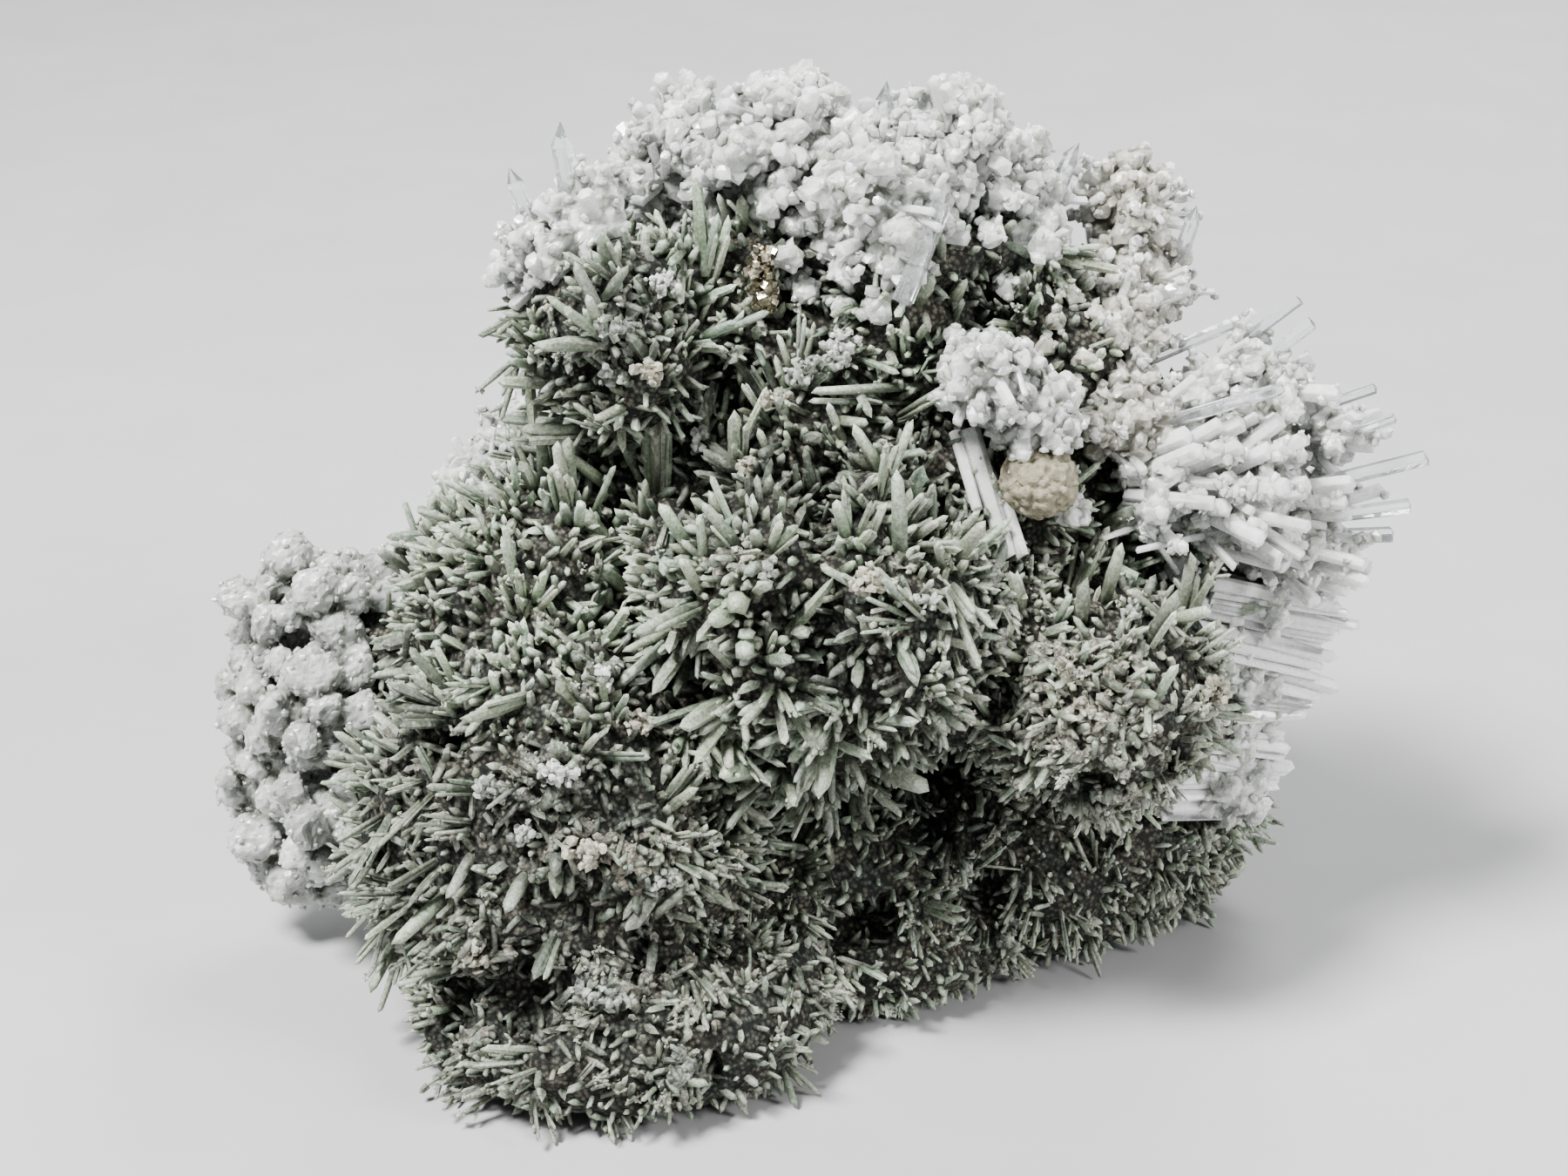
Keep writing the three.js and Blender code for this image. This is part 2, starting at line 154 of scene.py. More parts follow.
# How the needles differ over the block: a place and its reach in mm, then what changes there from the
# usual style. length, width and shade are factors, dust is 0 to 1, and lean is added to the direction.
# shade is painted light and shade: brighter on the left ridge, darker under the overhang and low down.
USUAL_STYLE = dict(length=1.0, width=1.0, dust=0.15, lean=(0, 0, 0), shade=1.0)
USUAL_WEIGHT = 0.35  # how much the usual style counts everywhere
REGION_WEIGHT = 2.0
REGION_EDGE = 1.25  # where a region ends, against its reach
REGION_FADE = 1.5
REGIONS = {
    "upper_left": dict(place=(-35, 2, 108), reach=24, length=0.9, width=0.95, lean=(-0.5, -0.2, 0.5)),
    "centre": dict(place=(-12, -32, 72), reach=26, length=1.1, width=1.25, lean=(0, -0.2, 0.15)),
    "left_ridge": dict(
        place=(-42, -18, 70), reach=20, length=1.1, width=1.2, lean=(-0.5, -0.2, 0.3), shade=1.3
    ),
    "right": dict(place=(56, -4, 72), reach=20, length=1.1, width=1.1, lean=(0.6, -0.2, 0.3)),
    "bulge": dict(place=(40, -32, 58), reach=24, length=0.25, width=0.85, dust=1.0),
    "overhang": dict(
        place=(18, -22, 40), reach=24, length=0.8, width=0.85, lean=(0, -0.2, -0.6), shade=0.68
    ),
    "lower_wall": dict(place=(32, -4, 20), reach=38, length=0.3, width=0.62, dust=0.35, lean=(0, 0, -0.4)),
    "lower_left": dict(
        place=(-40, -36, 34), reach=28, length=0.6, width=0.95, dust=0.6, lean=(-0.3, 0, -0.3), shade=0.65
    ),
    "foot": dict(
        place=(-26, -40, 6), reach=32, length=0.35, width=0.65, dust=0.5, lean=(-0.1, 0, -0.3), shade=0.75
    ),
    "left_foot": dict(place=(-66, -22, 14), reach=20, length=1.0, width=0.8, dust=0.3, lean=(-0.8, 0, -0.3)),
}

# Calcite crusts, each on the node of its name. Lumps are x, y, z, radius in mm, and zone is the
# ellipsoid in which the rock round them bears calcite too. nodule and grain are radii, spacing and
# grain_spacing how far apart they are, towers the share of nodules that bear another, facet the size of
# the flat faces and step the grid of the mesh. core is a lump's plain core under the nodules, against its
# radius, and shade how bright the crust is.
USUAL_CRUST = dict(step=0.8, core=0.66, shade=1.0)
CRUSTS = {
    "calcite_crown": dict(
        lumps=(
            (-19, 24, 121, 11.5), (-5, 13, 126, 12.5), (9, 5, 122, 12), (18, 14, 125, 12), (26, 16, 117, 10),
            (12, 27, 117, 13), (-5, 14, 135, 4), (-21, 28, 129, 4),
        ),
        zone=((5, 14, 120), (36, 30, 14)),
        nodule=(1.8, 3.6), spacing=5.0, towers=0.4, facet=1.9, grain=(0.5, 1.3), grain_spacing=2.2,
    ),
    "calcite_arm": dict(
        lumps=((46, 25, 116, 8), (46, 21, 105, 10), (43, 8, 101, 9), (44, -2, 92, 8)),
        zone=((44, 8, 102), (13, 26, 16)),
        nodule=(1.2, 2.3), spacing=3.8, towers=0.05, facet=1.4, grain=(0.4, 0.95), grain_spacing=1.7,
    ),
    "calcite_fan": dict(
        lumps=((62, 7, 90, 11), (61, -2, 80, 11), (70, 4, 71, 10), (50, -5, 83, 8), (75, 6, 86, 4.5)),
        zone=((60, 4, 83), (19, 21, 19)),
        nodule=(1.5, 2.8), spacing=4.8, towers=0.2, facet=1.7, grain=(0.45, 1.1), grain_spacing=2.2,
    ),
    "calcite_left": dict(
        lumps=(
            (-78, 16, 54, 10), (-85, 12, 40, 10), (-85, 11, 25, 10.5), (-79, 9, 14, 9.5),
            (-76, 2, 42, 9), (-75, -1, 26, 9), (-78, 23, 36, 11), (-87, 14, 55.5, 4.5),
        ),
        zone=((-76, 12, 34), (16, 22, 28)),
        nodule=(2.8, 4.7), spacing=7.4, towers=0.1, facet=1.1, grain=(0.35, 0.8), grain_spacing=2.0,
        core=0.5, shade=0.84,
    ),
    "calcite_shoulder": dict(
        lumps=((-52, 18, 72, 8), (-45, 23, 77, 8)),
        zone=((-48, 24, 74), (10, 12, 10)),
        nodule=(1.2, 2.2), spacing=3.6, towers=0.0, facet=1.4, grain=(0.5, 1.0), grain_spacing=2.2,
    ),
    "calcite_upper_left": dict(
        lumps=((-33, 5, 119, 7), (-39, 3, 114, 6.5)),
        zone=((-34, 5, 117), (10, 12, 9)),
        nodule=(1.5, 2.6), spacing=4.0, towers=0.2, facet=1.6, grain=(0.5, 1.1), grain_spacing=2.0,
    ),
    "calcite_centre": dict(
        lumps=((23, -12, 102, 7.5), (30, -12, 96, 7)),
        zone=((27, -10, 100), (10, 9, 9)),
        nodule=(1.4, 2.5), spacing=3.8, towers=0.15, facet=1.5, grain=(0.5, 1.3), grain_spacing=1.9, step=0.7,
    ),
    "calcite_blades": dict(
        lumps=((62, 2, 57, 5), (64, 2, 49, 6), (64, 3, 40, 6), (63, 1, 31, 6)),
        zone=((62, 0, 44), (9, 16, 22)),
        nodule=(1.2, 2.2), spacing=4.2, towers=0.1, facet=1.4, grain=(0.4, 1.0), grain_spacing=1.9,
    ),
}
# Open ground inside those zones, where green needles grow instead, as ellipsoids
BARE_GROUND = {
    "hollow_under_crown": ((-20, 3, 117), (13, 14, 7.5)),
    "right_of_hanging_prism": ((19, -8, 110), (7, 8, 4)),
}
CREASE_PAINTED_SHADE = np.array((0.34, 0.35, 0.30))  # painted shade: the colour of the calcite in its creases
CREASE_DEPTH = 0.16
FACET_TILT = 0.3
FACET_SHADE = (0.8, 1.04)
GAP_REACH = 3.2  # how far round a point the calcite is looked at, to tell a gap from open ground
OPEN_SHARE, GAP_SHARE = 0.42, 0.72  # how full it is there on open ground and in a gap
LUMP_SKIN = 0.8  # where the spots on a lump are counted, against its radius
SPOT_AREA = 0.8  # in squares of the spacing
INSIDE_OTHER = 0.62  # spots nearer than this to the middle of another lump are left out
NODULE_SEAT = (0.62, 0.9)  # how far out the middle of a nodule sits, against the lump's radius
SMALL_NODULE, SMALL_SHARE = 0.7, 0.4  # some nodules are this much smaller
WAY_STRAY = 0.12
DEEPEST_SPOT = -0.5  # spots farther inside the rock than this are left out
TOWER_SIZE = (0.6, 0.95)
TOWER_STRAY = 0.3
TOWER_SEAT = (0.75, 0.6)  # how far out it is, in the radius of its nodule and in its own
GRAIN_PATCHES = (0.35, 6, 8)  # how the size of the grains changes over a crust
CRUST_ROUGH = (0.3, 0.8, 7)
CRUST_PAINTED_SHADE = 0.3  # painted shade: how bright a crust is drawn in its deepest gaps and creases
GRAIN_FLAT = (0.35, 1.0)  # the thickness of a grain, against its width
GRAIN_SHADE = (0.7, 1.05)
GRAIN_RISE = (-0.1, 0.55)  # how far the middle of a grain stands out of the crust, in its radii

# Milky quartz prisms that stand out of the calcite of a node. spread is how far they stray from the way
# out of the crust, and lean is added to that way.
MILKY_PRISMS = {
    "calcite_crown": dict(count=300, radius=(0.6, 1.7), length=(5, 10), spread=0.45, lean=(0, -0.2, 0.2)),
    "calcite_arm": dict(count=60, radius=(0.5, 1.1), length=(5, 9), spread=0.4, lean=(0.4, -0.2, 0.3)),
    "calcite_fan": dict(count=130, radius=(0.7, 1.7), length=(6, 15), spread=0.3, lean=(1.4, -0.35, 0.15)),
    "calcite_upper_left": dict(
        count=40, radius=(0.6, 1.3), length=(5, 9), spread=0.4, lean=(-0.3, -0.2, 0.5)
    ),
    "calcite_centre": dict(count=30, radius=(0.5, 1.1), length=(4, 7), spread=0.6, lean=(0, -0.3, -0.2)),
    "calcite_shoulder": dict(count=24, radius=(0.5, 1.1), length=(4, 7), spread=0.5, lean=(-0.2, 0, 0.4)),
}
ENCRUSTED = 0.45  # the share of the milky prisms with grains on their outer half
GRAINS_PER_PRISM = 9
PRISM_SPACING = 2.2
PRISM_SEAT = 0.4  # the share of a prism that is in the crust
BEARING_HALF = (0.55, 1.0)  # where on a prism its grains are
GRAIN_SEAT = 0.9  # how far from its axis, in its radius

# Single milky crystals by the calcite right of the centre: root, tip and radius
SINGLE_PRISMS = {
    "pale_slab": ((21, -9, 93), (26.5, -17, 76), 1.7),
    "slab_chip": ((25, -12, 86), (28.5, -17.5, 76.5), 1.1),
    "left_of_lump": ((19, -8, 92), (22, -16, 83), 1.0),
    "by_cross": ((42, -6, 88), (52, -14, 82), 0.6),
    "cross_pale_a": ((50, -6, 78), (40, -13, 77.5), 0.55),
    "cross_pale_b": ((56, -8, 76), (45, -14, 76), 0.55),
    "cross_pale_c": ((52, -8, 70), (46, -13, 80), 0.5),
}
PALE_NODULE = ((35.5, -15.5, 83), 3.0)
PALE_LUMPS = 14
PALE_LUMP = (1.2, 2.0)
PALE_SPREAD = 0.45

QUARTZ_IOR = 1.54
CALCITE_IOR = 1.6
CLEAR_COLOUR = (0.80, 0.88, 0.92, 1)
CLEAR_DENSITY = 40.0  # how fast clear quartz takes up light, per metre

# Clear quartz that stands out past the calcite: root, tip, radius in mm
CLEAR_PRISMS = {
    "crown_point": ((7, 12, 112), (9, 10, 138.5), 2.3),
    "crown_right_point": ((30, 16, 108), (37.5, 20, 127), 1.6),
    "upper_left_high": ((-35, 8, 112), (-37.7, 8, 133), 2.1),
    "upper_left_low": ((-39, 6, 110), (-44.5, 4, 127.5), 1.8),
    "arm_point": ((50, 18, 98), (56, 22, 116.5), 1.7),
}
# Clear quartz with broken, flat ends
FLAT_PRISMS = {
    "crown_hanging": ((16.5, -4, 124.5), (11, -12, 112.5), 1.7),
    "fan_1": ((52, 12, 90), (70.6, 12, 105.3), 0.95),
    "fan_2": ((54, 8, 88), (72.5, 10, 102.3), 1.2),
    "fan_3": ((56, 6, 84), (81.7, 6, 93.6), 1.05),
    "fan_4": ((60, 4, 80), (84.5, 4, 89.6), 0.9),
    "fan_5": ((56, 2, 75), (89.3, 2, 84.2), 1.35),
    "fan_6": ((56, 2, 72), (87.5, 2, 76.5), 1.3),
    "fan_7": ((56, 4, 70), (85.3, 2, 71.9), 1.4),
    "fan_8": ((56, 5, 66), (79, 4, 65.2), 1.6),
    "fan_9": ((50, -4, 92), (66, -6, 98), 1.3),
    "fan_10": ((47, 10, 96), (62, 11, 102.5), 1.1),
}

# The blades low on the right grow in fans: where the middle blade starts and ends, how far apart
# the first and last one start and end across it, and how many there are in a layer
BLADE_FANS = {
    "top": dict(start=(57, -4, 63), end=(82.2, 3, 54.5), starts=8, ends=9, blades=9),
    "upper": dict(start=(57, -4, 53), end=(79, 4, 44), starts=8, ends=9, blades=8),
    "middle": dict(start=(57, -3, 46), end=(78.5, 5, 42.5), starts=3, ends=3, blades=4),
    "lower": dict(start=(56, -4, 39), end=(74, 4, 33), starts=7, ends=7, blades=8),
    "bottom": dict(start=(54, -3, 30), end=(72, 5, 26.5), starts=7, ends=8, blades=8),
}
BLADE_LAYERS = 3
LAYER_STEP = np.array((-1.5, 3.8, 0))  # from one layer to the next one behind
BLADE_BREADTH = (0.7, 1.4)
BLADE_REACH = (0.85, 1.0)
EDGE_BLADE_SHORTER = 0.2
BLADE_STRAY = 0.5
BLADE_TIP_STRAY = 0.4
BLADE_FACING = np.array((-0.1, -1.0, 0.5))
BLADE_TURN = 0.4
BLADE_SHAPE = dict(widths=(1.0, 1.0, 0.75), cone=0.8, flat=(0.4, 0.75))
BLADE_SHADE = (1.0, 1.15)

DOLOMITE = ((30.5, -16, 87.5), (6, 5.5, 5.2))
DOLOMITE_HALF = 9.0  # of the box that it is worked out in
DOLOMITE_STEP = 0.4
DOLOMITE_CORE = 0.86  # under its grains, against its radii
DOLOMITE_GRAINS = 260
DOLOMITE_GRAIN = (0.5, 0.95)
PYRITE_STRIP = ((-8.4, -0.6, 108.4), (-8.9, -1.6, 116.4))
PYRITE_CUBES = 170
PYRITE_SIZE = (0.45, 1.3)
PYRITE_STRAY = 0.75
PYRITE_CLEARANCE = 12.0  # no prism of the calcite starts nearer than this to its middle

BACK_LINE = 22.0  # y past which crystals are on the back
MIDDLE_HALF = 18.0  # x within which those in front are in the middle
BACK_THINNED = 0.2  # the share of sprays left out there
SITE_SPACING = 6.4
NEEDLES_PER_SITE = (6, 12)
NEEDLE_LENGTH = (4.0, 11.0)
NEEDLE_RADIUS = (0.5, 1.05)
NEEDLE_REACH = 5.0  # how far past the lobes they stand out
LONG_NEEDLE = 6.0  # needles past this get one more ring of points
SPRAY_HALF_ANGLE = (math.radians(18), math.radians(52))
NORMAL_SHARE = 0.5  # how far a spray follows the rock's own slope, and not that of the lobes
SPRAY_STRAY = (0.55, 0.4)  # how far a spray's lead strays, and what dust adds to that
SPRAY_LENGTH = (0.5, 1.35)  # against the length there
SPRAY_WIDTH = (0.75, 1.2)
TILT_SPREAD = (0.7, 1.25)
TURN_STRAY = 0.8
MIDDLE_LENGTH, EDGE_SHORTER = 1.1, 0.3  # a needle at the edge of a spray is shorter than in its middle
THIN_MORE_OFTEN = 1.6
SHORT_WIDTH = 0.55  # the width of the shortest needle, against one of mean length
SPRAY_FOOT = 3.4  # how wide the foot of a spray is
NEEDLE_SEAT = 2.5  # how deep in the rock a needle starts
COMPANIONS = 0.75  # thinner crystals grown beside a needle, for each needle
COMPANION_LENGTH = (0.5, 0.95)  # against its needle
COMPANION_RADIUS = (0.45, 0.85)
COMPANION_GAP = (0.7, 1.1)  # in radii of its needle, from its axis
COMPANION_LEAN = 1.5  # how much farther away its tip is
SIDE_NEEDLES = 0.55  # for each long needle
SIDE_LENGTH = (1.2, 3.0)
SIDE_RADIUS = (0.3, 0.55)
SIDE_PLACE = (0.35, 0.8)  # how far up its needle it grows
SIDE_LEAN = (0.4, 1.3)
FILL_SPACING = 1.9
FILL_LENGTH = (1.8, 4.2)
FILL_RADIUS = (0.5, 0.9)
FILL_STRAY = (0.3, 0.6)  # how far their way strays, and what dust adds to that
FILL_LEAN = 0.5
FILL_FIXED = 0.4  # the share of their size that is the same all over the rock
FILL_SEAT = 1.2
HERO_CLEARANCE = 1.9  # in the picture, the tips of other needles keep this far from the axis of a named one
# painted light: how much brighter the named needles are drawn
HERO_PAINTED_LIGHT = 1.12
NAMED_SEAT = 1.5  # how deep in the rock a named needle starts
NAMED_DUST = 0.12

# The needles that stand out to the eye: the pixels of the root and the tip, the radius, and how much
# nearer to the camera the tip is. The root is where the ray of its pixel meets the rock.
NAMED_NEEDLES = {
    "stack_left": ((748, 560), (741, 425), 0.85, 4),
    "stack_middle": ((754, 562), (750, 421), 0.9, 5),
    "stack_right": ((760, 560), (760, 426), 0.85, 4),
    "stack_side": ((733, 545), (706, 484), 1.0, 5),
    "thin_by_stack": ((778, 485), (809, 410), 0.6, 3),
    "cross_left": ((881, 486), (851, 440), 0.5, 5),
    "cross_right": ((846, 520), (880, 443), 0.55, 5),
    "blunt_upper": ((845, 530), (843, 470), 1.1, 6),
    "level_upper": ((1048, 443), (930, 450), 0.85, 6),
    "level_lower": ((1035, 462), (928, 460), 0.6, 5),
    "slanting_small": ((968, 505), (950, 462), 0.7, 4),
    "slanting_big": ((1015, 548), (979, 487), 1.0, 5),
    "upright_pair_a": ((936, 565), (923, 513), 0.8, 4),
    "upright_pair_b": ((915, 562), (912, 532), 0.6, 4),
    "column": ((1033, 640), (1030, 537), 1.3, 6),
    "column_bud": ((1033, 610), (1046, 560), 0.8, 5),
    "left_upright": ((743, 592), (740, 549), 0.7, 4),
    "wide_spear": ((795, 635), (757, 577), 1.15, 6),
    "long_spear": ((850, 630), (806, 577), 0.85, 6),
    "inner_spear": ((808, 645), (803, 590), 0.85, 7),
    "cross_small": ((852, 587), (818, 612), 0.5, 5),
    "fork_right": ((885, 632), (916, 602), 0.9, 5),
    "fork_left": ((885, 632), (897, 597), 0.8, 5),
    "white_spear": ((806, 682), (782, 640), 0.95, 7),
    "bright_spear": ((800, 697), (728, 727), 1.1, 6),
    "lower_spear": ((787, 740), (748, 798), 1.3, 5),
    "lower_twin": ((795, 752), (775, 800), 1.0, 4),
    "end_a": ((842, 702), (812, 714), 1.5, 8),
    "end_b": ((856, 742), (853, 750), 1.7, 8),
    "end_c": ((850, 690), (843, 693), 1.8, 9),
    "end_d": ((872, 675), (879, 670), 1.4, 8),
    "end_e": ((915, 722), (924, 730), 1.3, 7),
    "spread_a": ((978, 757), (950, 777), 0.85, 5),
    "spread_b": ((985, 755), (983, 792), 1.15, 5),
    "spread_c": ((1035, 745), (1055, 787), 1.3, 5),
    "ridge_big": ((700, 668), (660, 733), 1.5, 6),
    "ridge_level": ((678, 607), (601, 610), 1.0, 5),
    "ridge_upper": ((700, 560), (650, 520), 1.0, 5),
    "cavity_bright": ((600, 805), (528, 828), 1.15, 6),
    "right_a": ((1290, 640), (1337, 597), 1.0, 6),
    "right_b": ((1268, 692), (1288, 622), 1.15, 6),
    "right_c": ((1340, 663), (1387, 682), 1.2, 6),
    "right_d": ((1320, 735), (1353, 680), 1.1, 6),
    "right_e": ((1345, 712), (1392, 700), 1.0, 6),
    "bulge_block": ((1240, 714), (1246, 664), 1.5, 5),
    "bulge_a": ((1214, 712), (1230, 682), 0.85, 5),
    "bulge_b": ((1170, 697), (1160, 655), 0.95, 5),
    "bulge_c": ((1205, 728), (1232, 720), 0.9, 4),
    "bulge_d": ((1328, 802), (1352, 762), 0.85, 5),
    "bulge_e": ((1172, 757), (1142, 744), 0.85, 4),
    "bulge_f": ((1176, 779), (1212, 762), 1.2, 4),
    "foot_long": ((508, 1032), (450, 1085), 1.25, 5),
    "foot_a": ((540, 985), (513, 1033), 1.1, 5),
    "foot_b": ((640, 985), (637, 1031), 1.45, 5),
    "foot_c": ((755, 1020), (720, 1070), 1.2, 5),
    "foot_d": ((632, 1080), (612, 1125), 1.1, 5),
    "foot_e": ((750, 1080), (746, 1120), 0.9, 5),
    "foot_f": ((603, 1005), (580, 1048), 1.0, 5),
    "level_bar": ((690, 868), (747, 870), 0.6, 5),
    "criss_a": ((497, 895), (477, 856), 0.55, 4),
    "criss_b": ((482, 853), (532, 871), 0.5, 5),
    "criss_c": ((542, 905), (488, 903), 0.7, 5),
    "overhang_big": ((1005, 880), (1068, 906), 1.6, 6),
    "overhang_a": ((978, 905), (985, 978), 0.95, 5),
    "overhang_b": ((955, 850), (1002, 870), 1.0, 6),
    "overhang_c": ((1205, 930), (1212, 976), 0.8, 5),
    "overhang_d": ((1124, 903), (1125, 940), 0.7, 4),
    "overhang_e": ((1190, 905), (1181, 946), 1.1, 5),
    "overhang_f": ((1092, 868), (1093, 902), 0.7, 4),
    "hollow_tall": ((808, 305), (800, 203), 1.0, 3),
    "hollow_middle": ((812, 309), (824, 244), 0.8, 4),
    "hollow_right": ((820, 313), (838, 247), 0.9, 5),
    "hollow_low": ((805, 343), (847, 328), 0.9, 4),
    "hollow_left": ((697, 339), (720, 305), 1.0, 4),
    "upper_a": ((697, 416), (665, 385), 1.1, 4),
    "upper_b": ((743, 412), (720, 381), 1.1, 4),
    "upper_c": ((745, 350), (727, 318), 0.9, 4),
    "upper_d": ((690, 375), (672, 338), 0.9, 4),
    "upper_e": ((625, 440), (570, 438), 1.0, 3),
    "by_prism_a": ((1055, 346), (1072, 314), 1.0, 4),
    "by_prism_b": ((1092, 347), (1109, 320), 1.0, 4),
    "by_prism_c": ((1040, 401), (1038, 362), 0.9, 4),
    "by_prism_d": ((1053, 390), (1065, 370), 0.8, 4),
}

# A crumbly grey and tan crust grows in patches between the needles, most of all round these places:
# centre and radius
DUSTY_PLACES = {
    "tan_lump_low": ((-50, -37, 26), 6),
    "tan_lump_high": ((-33, -42, 41), 6),
    "white_patch": ((-38, -35, 52), 5),
    "drusy_patch": ((-21, -40, 37), 6),
    "drusy_foot": ((-34, -45, 20), 6),
    "column_low": ((56, -7, 36), 6),
    "column_high": ((56, -6, 50), 6),
    "bulge_top": ((31, -32, 66), 8),
    "bulge_middle": ((37, -34, 60), 9),
    "cavity": ((-30, -26, 66), 9),
}
DUSTY_SPACING = 1.7
DUSTY_PATCH = 10.0  # the size of its patches
DUSTY_RIM = (0.72, 0.75)  # the noise at which a patch starts is the first less dust times the second
DUSTY_HEIGHT = 1.8
DUSTY_BALL = (0.8, 1.3)
DUSTY_STEP = 0.82
DUSTY_FACET = 1.0
DUSTY_PAINTED_SHADE, DUSTY_PAINTED_LIGHT = 0.15, 0.6  # painted shade: its brightness in a crease, and what open ground adds to that
DARK_GRAINS = 0.3  # the share of dark grains in it
DARK_GRAIN = 0.35  # the shade of one, against the others
DUSTY_GRAIN = (0.5, 1.2)
DUSTY_EDGES = (0.5, 3.5, 15)  # bumps in the edge of its patches
DUSTY_PLACE_EDGE = 1.4  # where the crust round a place ends, against its radius
DUSTY_PLACE_COVER = 0.9
DUSTY_VUG_GAP = 0.5  # it keeps this far from a vug
DUSTY_LAYERS = (0.0, 0.6)  # how high the middles of its balls are, against its height
DUSTY_THIN = 0.2  # the height at the edge of a patch, against the middle
DUSTY_UNEVEN = (0.5, 1.3)
DUSTY_STRAY = 0.5
DUSTY_ROUGH = (0.25, 0.9, 16)
TAN_PATCH = 12.0
# Stubby crystals lie on it at all angles
RUBBLE_SPACING = 1.75
RUBBLE_LENGTH = (1.8, 4.6)
RUBBLE_RADIUS = (0.4, 0.85)
RUBBLE_LEAN = 0.7
RUBBLE_OUT = 0.7  # the share of one that stands out of the crust
RUBBLE_DUST = (0.1, 0.7)
# Granular aggregates that stand on the needles, by pixel: its place, how far out of the rock it is,
# its radius and its colour
AGGREGATES = {
    "stack_cap": ((745, 430), 6, 2.4, "cream"),
    "upper_crust": ((925, 425), 6, 3.2, "grey"),
    "upper_crust_left": ((893, 458), 6, 2.4, "cream"),
    "upper_crust_right": ((962, 412), 5, 2.2, "grey"),
    "stalk": ((858, 535), 4, 2.0, "cream"),
    "beside_stack": ((806, 505), 5, 2.2, "grey"),
    "middle": ((1000, 668), 4, 3.0, "cream"),
    "middle_right": ((1062, 690), 4, 2.2, "grey"),
    "ends_top": ((882, 655), 7, 1.8, "grey"),
    "cavity_side": ((693, 772), 6, 3.0, "white"),
    "cavity_low": ((735, 830), 5, 2.4, "cream"),
    "low_white": ((640, 890), 5, 3.0, "white"),
    "low_grey": ((560, 905), 5, 2.6, "grey"),
    "low_cream": ((672, 978), 5, 3.2, "cream"),
    "low_edge": ((600, 955), 5, 2.4, "grey"),
    "foot_tan": ((548, 1098), 4, 3.4, "cream"),
    "foot_grey": ((690, 1145), 4, 3.0, "grey"),
    "foot_right": ((765, 1010), 4, 2.6, "grey"),
    "column_top": ((1392, 790), 4, 3.2, "cream"),
    "column_middle": ((1384, 840), 4, 3.4, "cream"),
    "column_foot": ((1372, 893), 4, 3.0, "cream"),
    "bulge_edge": ((1300, 700), 5, 2.2, "grey"),
    "upper_left_white": ((760, 325), 5, 2.6, "white"),
    "upper_left_low": ((700, 430), 5, 2.2, "grey"),
    "under_crown": ((965, 395), 5, 2.8, "white"),
}
AGGREGATE_GRAINS = 46  # in one of the usual radius
AGGREGATE_RADIUS = 3
AGGREGATE_GRAIN = (0.35, 0.95)
AGGREGATE_SHAPE = (1.0, 0.7, 0.8)
AGGREGATE_FILL = (0.3, 1.0)
AGGREGATE_TOP = 0.75  # the share of the grains round its top, the others being at its foot
AGGREGATE_STALK = 0.6  # how far down to the rock its grains reach
AGGREGATE_SHADE = (0.6, 1.1)
# Crumbs of quartz and calcite that sit on the needles and on the crumbly crust
CRUMB_CLUMPS = 800
CRUMBS_PER_CLUMP = 4  # on the needle, with as many again on top of them
CRUMB_RADIUS = (0.18, 0.5)
CRUMB_CORNER = (0.4, 1.2)  # how far out its corners are, in its radius
CRUMB_LEVEL = (0.5, 0.97)  # how far up the needle a clump is
CRUMB_LEVEL_STRAY = 0.05
CRUMB_CHANCE = (0.08, 1.5)  # the chance of a clump is the dust and the first, to the power of the second
CRUMB_SEAT = (0.85, 0.3)  # how far from the needle's axis, in its radius and in the crumb's
CRUMB_STACK = 0.6  # how far from another that it lies on, against both their radii
CRUMB_COLOURS = (0.5, 0.33, 0.17)  # the shares of cream, pale grey and dark grey
CRUMB_SHADE = (0.75, 1.1)
GROUND_CRUMBS = 2.0  # how far apart those on the crumbly crust are
GROUND_CRUMB_SIZE = 1.3  # against those on the needles
GROUND_CRUMB_RISE = (0, 0.3)
CREAM = np.array((0.52, 0.49, 0.40))
PALE_GREY = np.array((0.53, 0.55, 0.50))
DARK_GREY = np.array((0.22, 0.22, 0.20))
SHADES = {"cream": CREAM, "grey": PALE_GREY * 0.9, "white": np.array((0.74, 0.75, 0.71))}

# The root colour is painted shade, dark where the needles crowd, fading up to the pale tips.
GREEN_ROOT_PAINTED_SHADE = np.array((0.095, 0.11, 0.08))
GREEN_MIDDLE = np.array((0.24, 0.285, 0.21))
GREEN_TIP = np.array((0.45, 0.50, 0.41))
DUST = np.array((0.50, 0.47, 0.40))
PAINTED_PIT_SHADE = 0.55  # painted shade: how much darker the crystals deep in a pit are drawn
DEEPEST_PAINTED_PIT_SHADE = 3.0  # the depth of a pit at which the painted shade of its crystals is darkest
BARE_PIT = 1.5  # no spray grows in a pit that is deeper, or nearer than this to a vug
UNDERSIDE = 2.0  # ground below this height bears no crystals where it faces down by more than the next
FACES_DOWN = -0.5
# How green crystals differ from one another: where on it the shades are, how bright one is, how far its
# hue strays, how much dust it has, and how much of that is left at its root
SHARE_STRAY = 0.08
NEEDLE_SHADE = (0.78, 1.18)
HUE_STRAY = 0.03
MOST_DUST = 1.2
ROOT_DUST = 0.2
SMOOTH_SHARE = 0.6  # the share of the crystals with soft edges between their faces
GOLDEN_ANGLE = math.pi * (3 - math.sqrt(5))
SEEDS = dict(
    sprays=11, fill=12, sides=13, companions=14, needle_bodies=20, crumbs=30, dusty=31, rubble=32,
    aggregates=33, crusts=40, milky_prisms=50, clear_prisms=60, single_prisms=61, blades=70,
    dolomite=80, pyrite=90,
)

